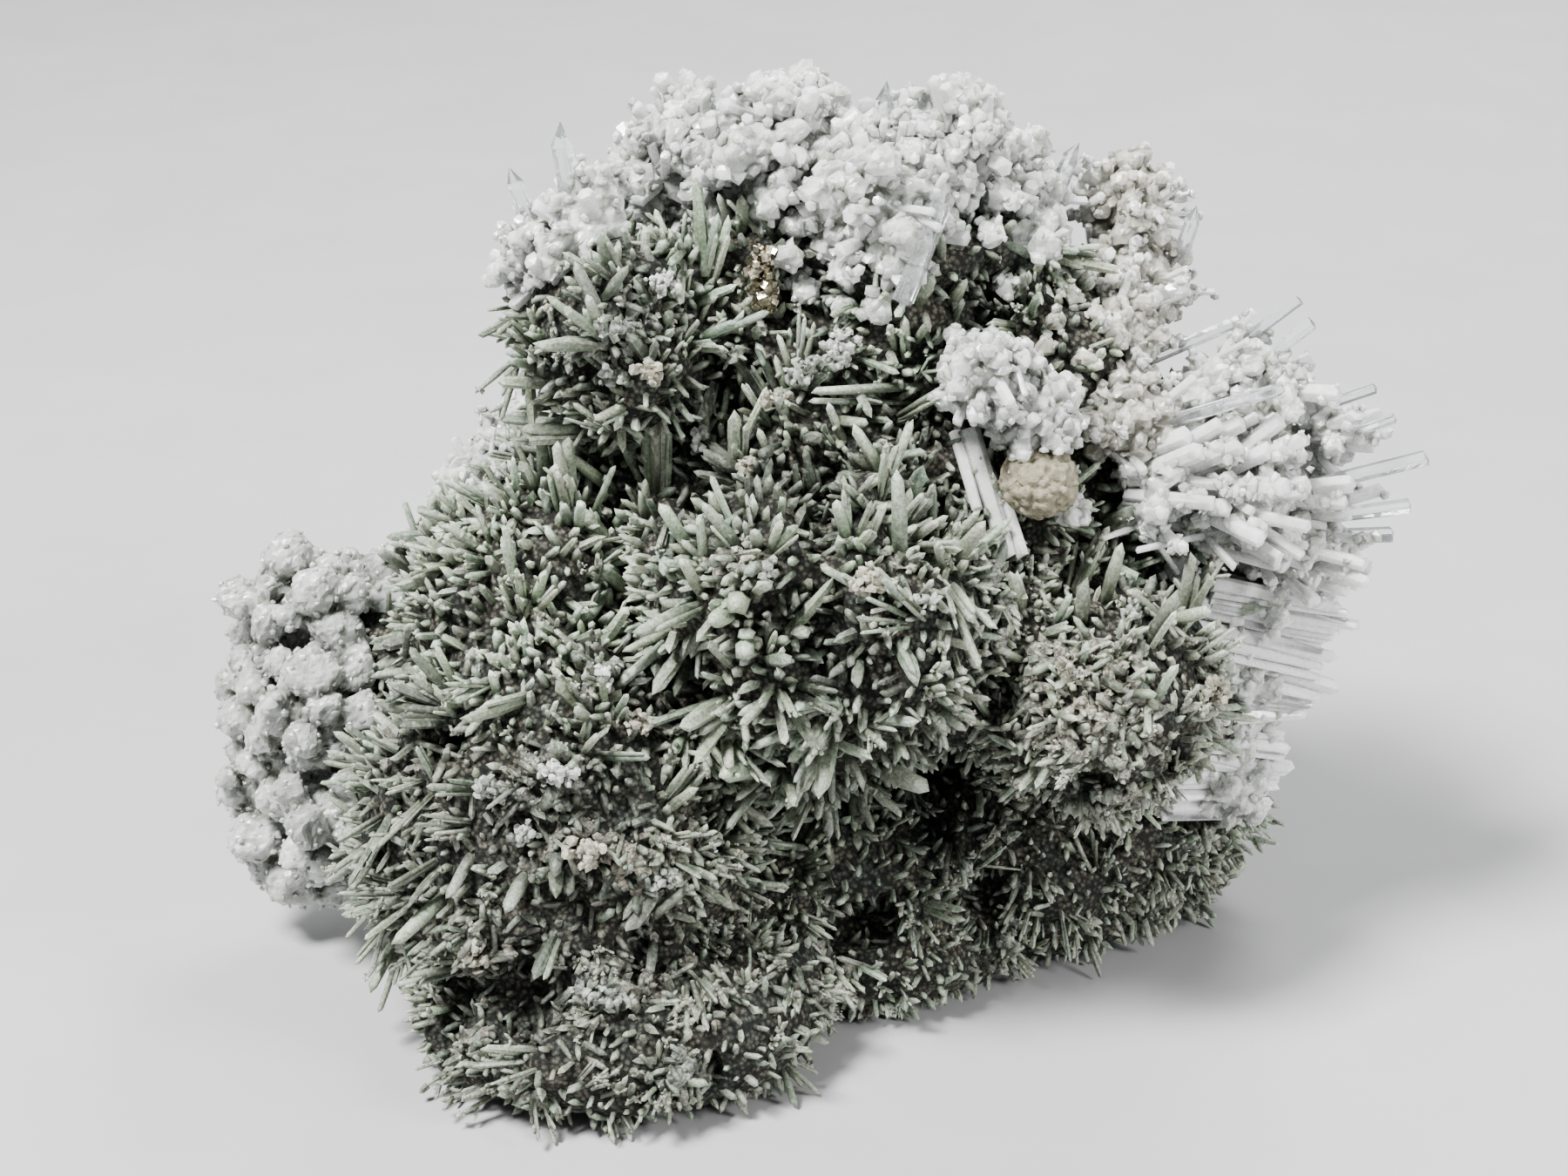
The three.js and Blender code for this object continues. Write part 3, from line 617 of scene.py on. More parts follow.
# A crystal: the heights of its lower rings and the widths of all its rings, as shares of its length and
# radius; the last ring is cone radii under the tip. rough and uneven are how far its corners stray
# sideways and lengthways, flat is its thickness against its width, and thin the way that it is thin.
CRYSTAL_SHAPE = dict(
    heights=(0, 0.5), widths=(0.82, 1.0, 0.8), cone=1.3, sides=6,
    rough=0.1, uneven=0.22, flat=(0.7, 1.0), thin=None,
)
BLUNT_END = dict(heights=(0,), widths=(0.95, 0.95), cone=0.3, rough=0.08, uneven=0.08)
POINTED_STUB = dict(heights=(0,), widths=(1.0, 0.85))
LOWEST_SHOULDER = 0.5  # the last ring is never lower than this share of the length
CORNER_STRAY = 0.12  # in radians, round the axis
APEX_STRAY = 0.25  # in radii
SHORTEST = 0.3  # a needle drawn back to the lobes keeps this share of its length
SHORTEST_IN_BOX = 0.05
FLOOR_GAP = 0.4  # crystals end this far above the floor
TINY = 1e-6
SHORTEST_VECTOR = 1e-9
NOISE_CELLS = 32  # after which the noise repeats

# Worn lumps: how deep their flat cuts go, against their radius, and how far the rest reaches
CUT_DEPTH = (0.7, 1.0)
LEAST_FACING = 0.05
UNCUT_REACH = 1.12
SMALL_GRAIN = dict(detail=1, cuts=7, flat=GRAIN_FLAT)

SMOOTH_ROUNDS = 2  # how often the dips of a mesh are smoothed over their neighbours
OWN_DIP = 0.4  # the share of its own dip that a point keeps in a round
TRIES_PER_SPOT = 5


# ---------------------------------------------------------------------------------------------
# Fields
# ---------------------------------------------------------------------------------------------


def draws(part, number=0):
    """The random draws of a part of the scene, the same in every run."""
    return np.random.default_rng(SEEDS[part] + number)


def unit_rows(vectors):
    """Vectors in the last axis, each made 1 long."""
    return vectors / np.maximum(np.linalg.norm(vectors, axis=-1, keepdims=True), SHORTEST_VECTOR)


def lattice_noise(points, scale, seed):
    """Smooth noise from -1 to 1, with features of about the scale."""
    table = np.random.default_rng(seed).uniform(-1, 1, (NOISE_CELLS,) * 3)
    place = points / scale
    cell = np.floor(place).astype(np.int64)
    part = place - cell
    part = part * part * (3 - 2 * part)
    total = np.zeros(points.shape[:-1])
    for corner in np.ndindex(2, 2, 2):
        weight = np.prod(np.where(corner, part, 1 - part), axis=-1)
        x, y, z = np.moveaxis((cell + corner) % NOISE_CELLS, -1, 0)
        total += weight * table[x, y, z]
    return total


def ellipsoid_distance(points, centre, radii):
    """About how far each point is outside an ellipsoid."""
    place = points - np.array(centre)
    radii = np.array(radii)
    unit = np.linalg.norm(place / radii, axis=-1)
    slope = np.linalg.norm(place / radii**2, axis=-1)
    return unit * (unit - 1) / np.maximum(slope, TINY)


def soft_min(a, b, blend):
    """The smaller of two distances, with the change between them rounded over the blend."""
    mix = np.clip(0.5 + 0.5 * (b - a) / blend, 0, 1)
    return b * (1 - mix) + a * mix - blend * mix * (1 - mix)


def bumps(points, height, size, seed):
    """Smooth bumps and dips of up to the height, about the size apart."""
    return height * lattice_noise(points, size, seed)


def lobes_distance(points, inset):
    """How far each point is outside the lobes, each shrunk by the inset."""
    field = np.full(points.shape[:-1], FAR_AWAY)
    for centre, radii in LOBES.values():
        field = soft_min(field, ellipsoid_distance(points, centre, np.array(radii) - inset), LOBE_BLEND)
    return field


def pit_depth(points):
    """How deep the small pits of the rock are at each point."""
    return PIT_DEPTH * np.maximum(lattice_noise(points, PIT_SPREAD, seed=5) - PIT_RIM, 0)


def rock_distance(points):
    """How far each point is outside the rock under the crystals."""
    field = lobes_distance(points, ROOT_INSET) + pit_depth(points)
    field += sum(bumps(points, *layer) for layer in ROCK_BUMPS)
    for centre, radii in HOLLOWS.values():
        hollow = ellipsoid_distance(points, centre, radii) + bumps(points, *HOLLOW_BUMPS)
        field = -soft_min(-field, hollow, HOLLOW_BLEND)
    return np.maximum(np.maximum(field, -vug_distance(points)), REST_HEIGHT - points[..., 2])


def vug_distance(points):
    """How far each point is outside the nearest vug."""
    nearest = np.full(points.shape[:-1], FAR_AWAY)
    for centre, radius in VUGS.values():
        nearest = np.minimum(nearest, np.linalg.norm(points - np.array(centre), axis=-1) - radius)
    return nearest + bumps(points, *VUG_BUMPS)


def outward(points):
    """The way out of the lobes at each point, with no small bumps."""
    ahead = [lobes_distance(points + step, 0) for step in np.eye(3)]
    behind = [lobes_distance(points - step, 0) for step in np.eye(3)]
    return unit_rows(np.stack(ahead, axis=-1) - np.stack(behind, axis=-1))


def in_ellipsoid(points, shape):
    """True inside the ellipsoid of a centre and radii."""
    centre, radii = shape
    return np.linalg.norm((points - np.array(centre)) / np.array(radii), axis=-1) < 1


def region_values(points, *names):
    """The values of those names at each point, blended from REGIONS and the usual style."""
    weights = [np.full(len(points), USUAL_WEIGHT)]
    styles = [USUAL_STYLE]
    for region in REGIONS.values():
        share = np.linalg.norm(points - np.array(region["place"]), axis=1) / region["reach"]
        weights.append(np.clip(REGION_EDGE - share, 0, 1) ** REGION_FADE * REGION_WEIGHT)
        styles.append(USUAL_STYLE | region)
    weights = np.array(weights)
    weights /= weights.sum(axis=0)
    return [weights.T @ np.array([style[name] for style in styles]) for name in names]


def painted_region_light(points):
    """Painted light and shade: how bright the crystals are drawn at each point, against the usual."""
    return region_values(points, "shade")[0]


# ---------------------------------------------------------------------------------------------
# Mesh helpers, all on arrays of points (n, 3) and faces (m, corners)
# ---------------------------------------------------------------------------------------------


def grid_points(low, size, step):
    """The points of a grid that starts at low and has size points on each axis."""
    axes = [start + step * np.arange(count) for start, count in zip(low, size)]
    return np.stack(np.meshgrid(*axes, indexing="ij"), axis=-1)


def surface_net(field, low, step):
    """Quads along the zero surface of a grid of distances that starts at low."""
    cells = np.array(field.shape) - 1
    total = np.zeros((np.prod(cells), 3))
    count = np.zeros(np.prod(cells))
    quads = []
    for axis in range(3):
        shift = np.eye(3, dtype=int)[axis]
        side_a, side_b = [k for k in range(3) if k != axis]
        starts = np.argwhere(np.diff((field < 0).astype(np.int8), axis=axis) != 0)
        inner = (starts[:, side_a] > 0) & (starts[:, side_a] < cells[side_a])
        inner &= (starts[:, side_b] > 0) & (starts[:, side_b] < cells[side_b])
        starts = starts[inner]
        value_a = field[tuple(starts.T)]
        value_b = field[tuple((starts + shift).T)]
        crossing = starts + shift * (value_a / (value_a - value_b))[:, None]
        ring = []
        for a, b in ((0, 0), (1, 0), (1, 1), (0, 1)):
            cell = starts.copy()
            cell[:, side_a] -= a
            cell[:, side_b] -= b
            flat = np.ravel_multi_index(tuple(cell.T), tuple(cells))
            np.add.at(total, flat, crossing)
            np.add.at(count, flat, 1)
            ring.append(flat)
        quad = np.stack(ring, axis=1)
        flip = (value_a < 0) == (axis == 1)
        quad[flip] = quad[flip][:, ::-1]
        quads.append(quad)
    used, index = np.unique(np.concatenate(quads), return_inverse=True)
    points = np.array(low) + step * total[used] / count[used][:, None]
    return points, index.reshape(-1, 4)


class LumpField:
    """A grid of distances to which lumps are added, and which becomes one mesh of them all."""

    FAR = 2.0  # the distance where there is no lump near
    NEAR_SHARE = 0.9  # values under this share of FAR are near a lump
    BALL = 1.05  # the ball that is cut, against the lump's radius
    REACH = 1.1  # how far a lump is worked out, against its radius

    def __init__(self, low, high, step):
        self.low = np.array(low, float)
        self.step = step
        self.size = np.ceil((np.array(high) - self.low) / step).astype(int) + 1
        self.values = np.full(self.size, self.FAR)

    def add(self, centre, radius, cuts, depths):
        """A ball of the radius cut by planes: their normals and depths against the radius."""
        reach = radius * self.REACH + 2 * self.step
        start = np.maximum(np.floor((centre - reach - self.low) / self.step).astype(int), 0)
        stop = np.minimum(np.ceil((centre + reach - self.low) / self.step).astype(int) + 1, self.size)
        if np.any(stop <= start):
            return
        local = grid_points(self.low + start * self.step, stop - start, self.step) - centre
        distance = np.linalg.norm(local, axis=-1) - radius * self.BALL
        if len(cuts):
            distance = np.maximum(distance, np.max(local @ cuts.T - depths * radius, axis=-1))
        part = tuple(slice(a, b) for a, b in zip(start, stop))
        self.values[part] = np.minimum(self.values[part], distance)

    def add_cut_lumps(self, centres, radii, rng, cuts=10, depth=(0.62, 1.0)):
        """Lumps with worn flat faces turned at random."""
        for centre, radius in zip(centres, radii):
            self.add(centre, radius, unit_rows(rng.normal(size=(cuts, 3))), rng.uniform(*depth, cuts))

    def roughen(self, height, size, seed):
        """Small bumps on the surface."""
        near = np.abs(self.values) < self.FAR * self.NEAR_SHARE
        spots = self.low + self.step * np.argwhere(near)
        self.values[near] += bumps(spots, height, size, seed)

    def mesh(self):
        """Points and quads of the surface of all the lumps."""
        return surface_net(self.values, self.low, self.step)

    def openness(self, points, reach):
        """1 where little of the field is solid within the reach of a point, down to 0 in a deep gap."""
        solid = (self.values < 0).astype(float)
        width = int(reach / self.step)
        for axis in range(3):
            total = np.cumsum(solid, axis=axis)
            place = np.arange(self.size[axis])
            ahead = np.take(total, np.minimum(place + width, self.size[axis] - 1), axis=axis)
            behind = np.take(total, np.maximum(place - width, 0), axis=axis)
            solid = (ahead - behind) / (2 * width)
        cell = np.clip(np.round((points - self.low) / self.step).astype(int), 0, self.size - 1)
        return 1 - np.clip((solid[tuple(cell.T)] - OPEN_SHARE) / (GAP_SHARE - OPEN_SHARE), 0, 1)


def point_normals(points, faces):
    """The mean direction of the faces round each point."""
    total = np.zeros_like(points)
    _, normal = face_frames(points, faces)
    for k in range(faces.shape[1]):
        np.add.at(total, faces[:, k], normal)
    return unit_rows(total)


def facet(points, faces, size, rng):
    """The points drawn onto flat faces of about the size, each turned its own way, and the face of each."""
    area, _ = face_frames(points, faces)
    pick = rng.choice(len(points), int(area.sum() / size**2), replace=False)
    facing = unit_rows(point_normals(points, faces)[pick] + rng.normal(0, FACET_TILT, (len(pick), 3)))
    tree = KDTree(len(pick))
    for k, point in enumerate(points[pick]):
        tree.insert(point, k)
    tree.balance()
    own = np.array([tree.find(point)[1] for point in points])
    rise = np.sum((points - points[pick][own]) * facing[own], axis=1)
    return points - np.clip(rise, -size / 2, size / 2)[:, None] * facing[own], own


def painted_crease_shade(points, faces, depth):
    """Painted shade: 1 on open ground down to 0 in the creases of a mesh, where the surface dips by the
    depth.
    """
    corner_normal = point_normals(points, faces)
    around = np.zeros_like(points)
    count = np.zeros(len(points))
    sides = faces.shape[1]
    for k in range(sides):
        corner, after = faces[:, k], faces[:, (k + 1) % sides]
        np.add.at(around, corner, points[after])
        np.add.at(count, corner, 1)
    dip = np.sum((around / count[:, None] - points) * corner_normal, axis=1)
    for _ in range(SMOOTH_ROUNDS):
        spread = np.zeros(len(points))
        for k in range(sides):
            np.add.at(spread, faces[:, k], dip[faces[:, (k + 1) % sides]])
        dip = OWN_DIP * dip + (1 - OWN_DIP) * spread / count
    return 1 - np.clip(dip / depth, 0, 1)


def face_frames(points, faces):
    """Each face's area and unit normal."""
    corners = points[faces]
    cross = np.cross(corners[:, 1] - corners[:, 0], corners[:, 2] - corners[:, 0])
    if faces.shape[1] == 4:
        cross = np.cross(corners[:, 2] - corners[:, 0], corners[:, 3] - corners[:, 1])
    return np.linalg.norm(cross, axis=1) / 2, unit_rows(cross)


def scatter(points, faces, spacing, rng):
    """Spots on a mesh, no two closer than the spacing, the normals there, and the faces they are on."""
    area, normal = face_frames(points, faces)
    tries = int(area.sum() / spacing**2 * TRIES_PER_SPOT)
    face = rng.choice(len(faces), tries, p=area / area.sum())
    weights = rng.dirichlet(np.ones(faces.shape[1]), tries)
    spots = np.einsum("nk,nkd->nd", weights, points[faces[face]])
    kept = []
    taken = {}
    around = [(x, y, z) for x in (-1, 0, 1) for y in (-1, 0, 1) for z in (-1, 0, 1)]
    for k, cell in enumerate(map(tuple, np.floor(spots / spacing).astype(int))):
        blocks = [(cell[0] + x, cell[1] + y, cell[2] + z) for x, y, z in around]
        near = [j for block in blocks for j in taken.get(block, ())]
        if near and np.min(np.sum((spots[near] - spots[k]) ** 2, axis=1)) < spacing**2:
            continue
        taken.setdefault(cell, []).append(k)
        kept.append(k)
    return spots[kept], normal[face[kept]], face[kept]


def side_axes(directions, rng):
    """Two unit vectors square to each direction, turned at random about it."""
    first = unit_rows(np.cross(directions, rng.normal(size=directions.shape)))
    return first, np.cross(directions, first)


def ring_faces(sides, rings):
    """Triangles of a closed body of one crystal: rings of points, then an apex."""
    faces = []
    for ring in range(rings - 1):
        for k in range(sides):
            a, b = ring * sides + k, ring * sides + (k + 1) % sides
            faces += [(a, b, b + sides), (a, b + sides, a + sides)]
    last = (rings - 1) * sides
    faces += [(last + k, last + (k + 1) % sides, rings * sides) for k in range(sides)]
    faces += [(0, k + 1, k) for k in range(1, sides - 1)]
    return np.array(faces)


def crystals(roots, tips, radii, rng, **changes):
    """Prisms that end in a point: points (n, k, 3), faces of one, and each point's share of the length.

    The changes are against CRYSTAL_SHAPE.
    """
    make = types.SimpleNamespace(**(CRYSTAL_SHAPE | changes))
    count = len(roots)
    axis = unit_rows(tips - roots)
    length = np.linalg.norm(tips - roots, axis=1)
    first, second = side_axes(axis, rng)
    if make.thin is not None:
        second = unit_rows(make.thin - np.sum(make.thin * axis, axis=1, keepdims=True) * axis)
        first = np.cross(second, axis)
    second = second * rng.uniform(*make.flat, (count, 1))
    sides = make.sides
    turn = np.arange(sides) * 2 * math.pi / sides
    shoulder = np.maximum(1 - make.cone * radii / length, LOWEST_SHOULDER)
    levels = [np.full(count, height) for height in make.heights] + [shoulder]
    rings = []
    shares = []
    for number, (level, width) in enumerate(zip(levels, make.widths)):
        angle = turn + rng.normal(0, CORNER_STRAY, (count, sides))
        reach = radii[:, None] * width * (1 + rng.normal(0, make.rough, (count, sides)))
        wobble = make.uneven * radii[:, None] * rng.normal(size=(count, sides)) * (number > 0)
        rise = (level * length)[:, None] + wobble
        ring = (
            roots[:, None]
            + rise[..., None] * axis[:, None]
            + (reach * np.cos(angle))[..., None] * first[:, None]
            + (reach * np.sin(angle))[..., None] * second[:, None]
        )
        rings.append(ring)
        shares.append(np.repeat(level[:, None], sides, axis=1))
    off = rng.normal(0, APEX_STRAY, (count, 2)) * radii[:, None] * make.widths[-1]
    apex = tips + off[:, :1] * first + off[:, 1:] * second
    rings.append(apex[:, None])
    shares.append(np.ones((count, 1)))
    return np.concatenate(rings, axis=1), ring_faces(sides, len(levels)), np.concatenate(shares, axis=1)


def sphere_mesh(detail):
    """A sphere of radius 1, of 20 triangles at detail 1 and four times as many for each step up."""
    work = bmesh.new()
    bmesh.ops.create_icosphere(work, subdivisions=detail, radius=1)
    points = np.array([vert.co for vert in work.verts])
    faces = np.array([[vert.index for vert in face.verts] for face in work.faces])
    work.free()
    return points, faces


def nuggets(places, radii, rng, detail=2, cuts=9, flat=(0.65, 0.95), rough=0.05):
    """Lumps with worn flat faces: points (n, k, 3) and the faces of one."""
    ball, faces = sphere_mesh(detail)
    count = len(places)
    cut = unit_rows(rng.normal(size=(count, cuts, 3)))
    depth = rng.uniform(*CUT_DEPTH, (count, cuts))
    facing = np.maximum(np.einsum("kd,ncd->nkc", ball, cut), LEAST_FACING)
    reach = np.minimum(np.min(depth[:, None] / facing, axis=2), UNCUT_REACH)
    reach *= 1 + rng.normal(0, rough, reach.shape)
    body = ball * (reach * radii[:, None])[..., None]
    axis = unit_rows(rng.normal(size=(count, 3)))
    along = np.einsum("nkd,nd->nk", body, axis)
    squash = 1 - rng.uniform(*flat, (count, 1))
    return places[:, None] + body - (squash * along)[..., None] * axis[:, None], faces


def flatten(points, faces):
    """Bodies of the same make, (n, k, 3), as one mesh."""
    count, size = points.shape[:2]
    index = faces[None] + np.arange(count)[:, None, None] * size
    return points.reshape(-1, 3), index.reshape(-1, faces.shape[1])


def join(*meshes):
    """Several (points, faces) as one."""
    start = np.cumsum([0] + [len(points) for points, _ in meshes[:-1]])
    points = np.concatenate([points for points, _ in meshes])
    faces = np.concatenate([faces + offset for (_, faces), offset in zip(meshes, start)])
    return points, faces


def keep_near_lobes(roots, tips, reach):
    """Tips drawn back where they would stand out past the lobes by more than the reach."""
    way = tips - roots
    long = np.linalg.norm(way, axis=1)
    excess = np.maximum(lobes_distance(tips, 0) - reach, 0)
    return roots + way * np.maximum(1 - excess / long, SHORTEST)[:, None]


def keep_in_box(roots, tips):
    """Tips drawn back towards their roots where they would leave the solids' box."""
    way = tips - roots
    limit = np.where(way > 0, BOX_HIGH, BOX_LOW + (0, 0, FLOOR_GAP))
    share = np.where(np.abs(way) > TINY, (limit - roots) / np.where(way == 0, 1, way), 1)
    return roots + way * np.clip(share.min(axis=1), SHORTEST_IN_BOX, 1)[:, None]


# ---------------------------------------------------------------------------------------------
# Materials
# ---------------------------------------------------------------------------------------------


class Look:
    """A material with its node tree, and short calls for the nodes that this script uses."""

    def __init__(self, name):
        self.material = bpy.data.materials.new(name)
        self.material.use_nodes = True
        self.nodes = self.material.node_tree.nodes
        self.links = self.material.node_tree.links
        self.shader = self.nodes["Principled BSDF"]
        self.place = self.nodes.new("ShaderNodeTexCoord").outputs["Object"]

    def put(self, socket, value):
        """Give a socket a value, or link another socket to it."""
        if isinstance(value, bpy.types.NodeSocket):
            self.links.new(value, socket)
        else:
            socket.default_value = value

    def set(self, **values):
        """Values or links of the shader's own sockets, by name with _ for each space."""
        for name, value in values.items():
            self.put(self.shader.inputs[name.replace("_", " ")], value)

    def absorb(self, colour, density):
        """Take up light inside the crystal: the density is per metre."""
        node = self.nodes.new("ShaderNodeVolumeAbsorption")
        node.inputs["Color"].default_value = colour
        node.inputs["Density"].default_value = density
        self.links.new(node.outputs["Volume"], self.nodes["Material Output"].inputs["Volume"])

    def noise(self, size, detail=4.0):
        """Noise with features of the size in mm, 0 to 1."""
        node = self.nodes.new("ShaderNodeTexNoise")
        node.inputs["Scale"].default_value = 1 / (size * MM)
        node.inputs["Detail"].default_value = detail
        node.inputs["Roughness"].default_value = 0.6
        self.links.new(self.place, node.inputs["Vector"])
        return node.outputs["Fac"]

    def cells(self, size):
        """The shade of random cells of the size in mm, 0 to 1."""
        node = self.nodes.new("ShaderNodeTexVoronoi")
        node.inputs["Scale"].default_value = 1 / (size * MM)
        self.links.new(self.place, node.inputs["Vector"])
        return node.outputs["Distance"]

    def ramp(self, value, *stops):
        """value mapped through (place, colour or grey) stops."""
        node = self.nodes.new("ShaderNodeValToRGB")
        self.links.new(value, node.inputs["Fac"])
        elements = node.color_ramp.elements
        while len(elements) < len(stops):
            elements.new(0.5)
        for element, (place, colour) in zip(elements, stops):
            element.position = place
            element.color = (*colour, 1) if isinstance(colour, tuple) else (colour, colour, colour, 1)
        return node.outputs["Color"]

    def attribute(self, name):
        """The colour of a mesh attribute."""
        node = self.nodes.new("ShaderNodeAttribute")
        node.attribute_name = name
        return node.outputs["Color"]

    def mix(self, share, a, b, kind="MIX"):
        """Two colours mixed, or blended in another kind of way."""
        node = self.nodes.new("ShaderNodeMix")
        node.data_type = "RGBA"
        node.blend_type = kind
        self.put(node.inputs["Factor"], share)
        for socket, value in ((node.inputs["A"], a), (node.inputs["B"], b)):
            self.put(socket, (*value, 1) if isinstance(value, tuple) else value)
        return node.outputs["Result"]

    def bump(self, height, strength, distance):
        """A bumpy surface, the distance being its depth in mm."""
        node = self.nodes.new("ShaderNodeBump")
        node.inputs["Strength"].default_value = strength
        node.inputs["Distance"].default_value = distance * MM
        self.links.new(height, node.inputs["Height"])
        self.links.new(node.outputs["Normal"], self.shader.inputs["Normal"])


def green_quartz_look():
    """Sage green, with a fine speckle, pale clouds and a sugary bump."""
    look = Look("green_quartz")
    speckle = look.ramp(look.noise(0.45), (0.35, 0.62), (0.66, 1.28))
    cloud = look.ramp(look.noise(3.5), (0.3, 0.85), (0.7, 1.1))
    colour = look.mix(1.0, look.attribute("tint"), speckle, "MULTIPLY")
    colour = look.mix(1.0, colour, cloud, "MULTIPLY")
    colour = look.mix(look.ramp(look.noise(1.1, 5.0), (0.52, 0.0), (0.7, 0.5)), colour, tuple(PALE_GREY))
    look.set(Base_Color=colour, Roughness=look.ramp(look.noise(0.8), (0.3, 0.38), (0.7, 0.7)))
    look.set(Subsurface_Weight=0.15, Subsurface_Radius=(1, 1, 1), Subsurface_Scale=0.0008, IOR=QUARTZ_IOR)
    look.bump(look.noise(0.3, 4.0), 0.8, 0.16)
    return look.material


def calcite_look(name, bright, warm):
    """Slightly translucent calcite between a bright and a warm colour, with glossy and matt patches."""
    look = Look(name)
    cloud = look.ramp(look.noise(7.0, 2.0), (0.35, 0.74), (0.6, 1.0))
    colour = look.mix(1.0, look.ramp(look.noise(2.2), (0.38, warm), (0.58, bright)), cloud, "MULTIPLY")
    colour = look.mix(1.0, look.attribute("tint"), colour, "MULTIPLY")
    look.set(Base_Color=colour, Roughness=look.ramp(look.noise(0.9), (0.35, 0.08), (0.65, 0.42)))
    look.set(Subsurface_Weight=0.7, Subsurface_Radius=(1, 1, 1), Subsurface_Scale=0.0018, IOR=CALCITE_IOR)
    look.set(Transmission_Weight=0.12)
    look.bump(look.noise(0.35, 4.0), 0.5, 0.12)
    return look.material


def clear_quartz_look():
    """See-through, with a little absorption and patches of rougher skin."""
    look = Look("clear_quartz")
    look.set(Base_Color=(0.96, 0.97, 0.98, 1), Transmission_Weight=0.9, IOR=QUARTZ_IOR)
    look.set(Roughness=look.ramp(look.noise(1.5), (0.35, 0.03), (0.65, 0.16)))
    look.absorb(CLEAR_COLOUR, CLEAR_DENSITY)
    look.bump(look.noise(0.9), 0.15, 0.1)
    return look.material


def milky_quartz_look():
    """White and slightly see-through."""
    look = Look("milky_quartz")
    colour = look.ramp(look.noise(1.8), (0.35, (0.80, 0.80, 0.78)), (0.6, (0.96, 0.96, 0.95)))
    colour = look.mix(1.0, look.attribute("tint"), colour, "MULTIPLY")
    look.set(Base_Color=colour, Transmission_Weight=0.15, IOR=QUARTZ_IOR)
    look.set(Subsurface_Weight=0.7, Subsurface_Radius=(1, 1, 1), Subsurface_Scale=0.002)
    look.set(Roughness=look.ramp(look.noise(1.2), (0.35, 0.12), (0.65, 0.35)))
    look.bump(look.noise(0.7), 0.25, 0.1)
    return look.material


def rock_look():
    """Dark grey-brown and matt, with a fine grain; its darkness is partly its own colour and partly painted
    shade.
    """
    look = Look("rock")
    grains = look.cells(0.8)
    fine = look.noise(0.5, 5.0)
    # The rock's colour is partly its own and partly painted shade, drawn darker so that the gaps between the
    # crystals read dark.
    patch = look.ramp(look.noise(6.0), (0.42, (0.10, 0.11, 0.09)), (0.6, (0.21, 0.195, 0.155)))
    # Each grain is painted darker towards its edges, as shade between the grains.
    colour = look.mix(1.0, patch, look.ramp(grains, (0.15, 1.0), (0.62, 0.12)), "MULTIPLY")
    colour = look.mix(1.0, colour, look.ramp(fine, (0.35, 0.5), (0.65, 1.3)), "MULTIPLY")
    look.set(Base_Color=colour, Roughness=0.8)
    look.bump(fine, 1.0, 0.6)
    return look.material


def crumbly_look():
    """Its tint, broken up by a coarse sugary grain."""
    look = Look("crumbly_crust")
    fine = look.noise(0.45, 5.0)
    colour = look.mix(1.0, look.attribute("tint"), look.ramp(fine, (0.36, 0.35), (0.62, 1.25)), "MULTIPLY")
    look.set(Base_Color=colour, Roughness=look.ramp(look.noise(0.7), (0.3, 0.3), (0.6, 0.8)))
    look.bump(look.mix(0.5, fine, look.cells(0.6)), 0.9, 0.3)
    return look.material


def dolomite_look():
    """Tan and granular."""
    look = Look("dolomite")
    colour = look.ramp(look.noise(0.9), (0.3, (0.20, 0.18, 0.125)), (0.7, (0.38, 0.35, 0.265)))
    look.set(Base_Color=colour, Roughness=0.7)
    look.bump(look.noise(0.4, 5.0), 0.8, 0.2)
    return look.material


def pyrite_look():
    """Pale brass, with patches of rougher skin."""
    look = Look("pyrite")
    colour = look.ramp(look.noise(0.9), (0.35, (0.24, 0.21, 0.15)), (0.65, (0.70, 0.65, 0.54)))
    rough = look.ramp(look.noise(1.1), (0.3, 0.14), (0.7, 0.42))
    look.set(Base_Color=colour, Metallic=1.0, Roughness=rough)
    look.bump(look.noise(0.3), 0.3, 0.08)
    return look.material


# ---------------------------------------------------------------------------------------------
# Pieces
# ---------------------------------------------------------------------------------------------


def make_piece(name, mesh_data, material, nodes, tint=None, smooth=None):
    """One mesh object from points and faces in mm, riding on the root and standing for the nodes."""
    points, faces = mesh_data
    count, corners = faces.shape
    mesh = bpy.data.meshes.new(name)
    mesh.vertices.add(len(points))
    mesh.vertices.foreach_set("co", (points * MM).astype(np.float32).ravel())
    mesh.loops.add(count * corners)
    mesh.loops.foreach_set("vertex_index", faces.astype(np.int32).ravel())
    mesh.polygons.add(count)
    mesh.polygons.foreach_set("loop_start", np.arange(0, count * corners, corners, dtype=np.int32))
    mesh.update(calc_edges=True)
    flags = np.zeros(count, bool) if smooth is None else smooth
    mesh.polygons.foreach_set("use_smooth", flags)
    if tint is not None:
        layer = mesh.attributes.new("tint", "FLOAT_COLOR", "POINT")
        colours = np.column_stack((tint, np.ones(len(tint))))
        layer.data.foreach_set("color", colours.astype(np.float32).ravel())
    mesh.materials.append(material)
    piece = bpy.data.objects.new(name, mesh)
    bpy.context.scene.collection.objects.link(piece)
    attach(piece, "root")
    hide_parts(*nodes)
    return piece


def make_green_piece(name, mesh_data, material, tint=None, smooth=None):
    """A piece that stands for the rock and its quartz."""
    make_piece(name, mesh_data, material, ["quartz_matrix"], tint, smooth)


def rock():
    """The rock under the crystals, and its mesh for the crystals to grow on."""
    size = np.ceil((np.array(ROCK_HIGH) - ROCK_LOW) / ROCK_STEP).astype(int)
    field = rock_distance(grid_points(ROCK_LOW, size, ROCK_STEP))
    points, quads = surface_net(field, ROCK_LOW, ROCK_STEP)
    points[:, 2] = np.maximum(points[:, 2], REST_HEIGHT)
    make_green_piece("rock", (points, quads), rock_look(), smooth=np.ones(len(quads), bool))
    return points, quads


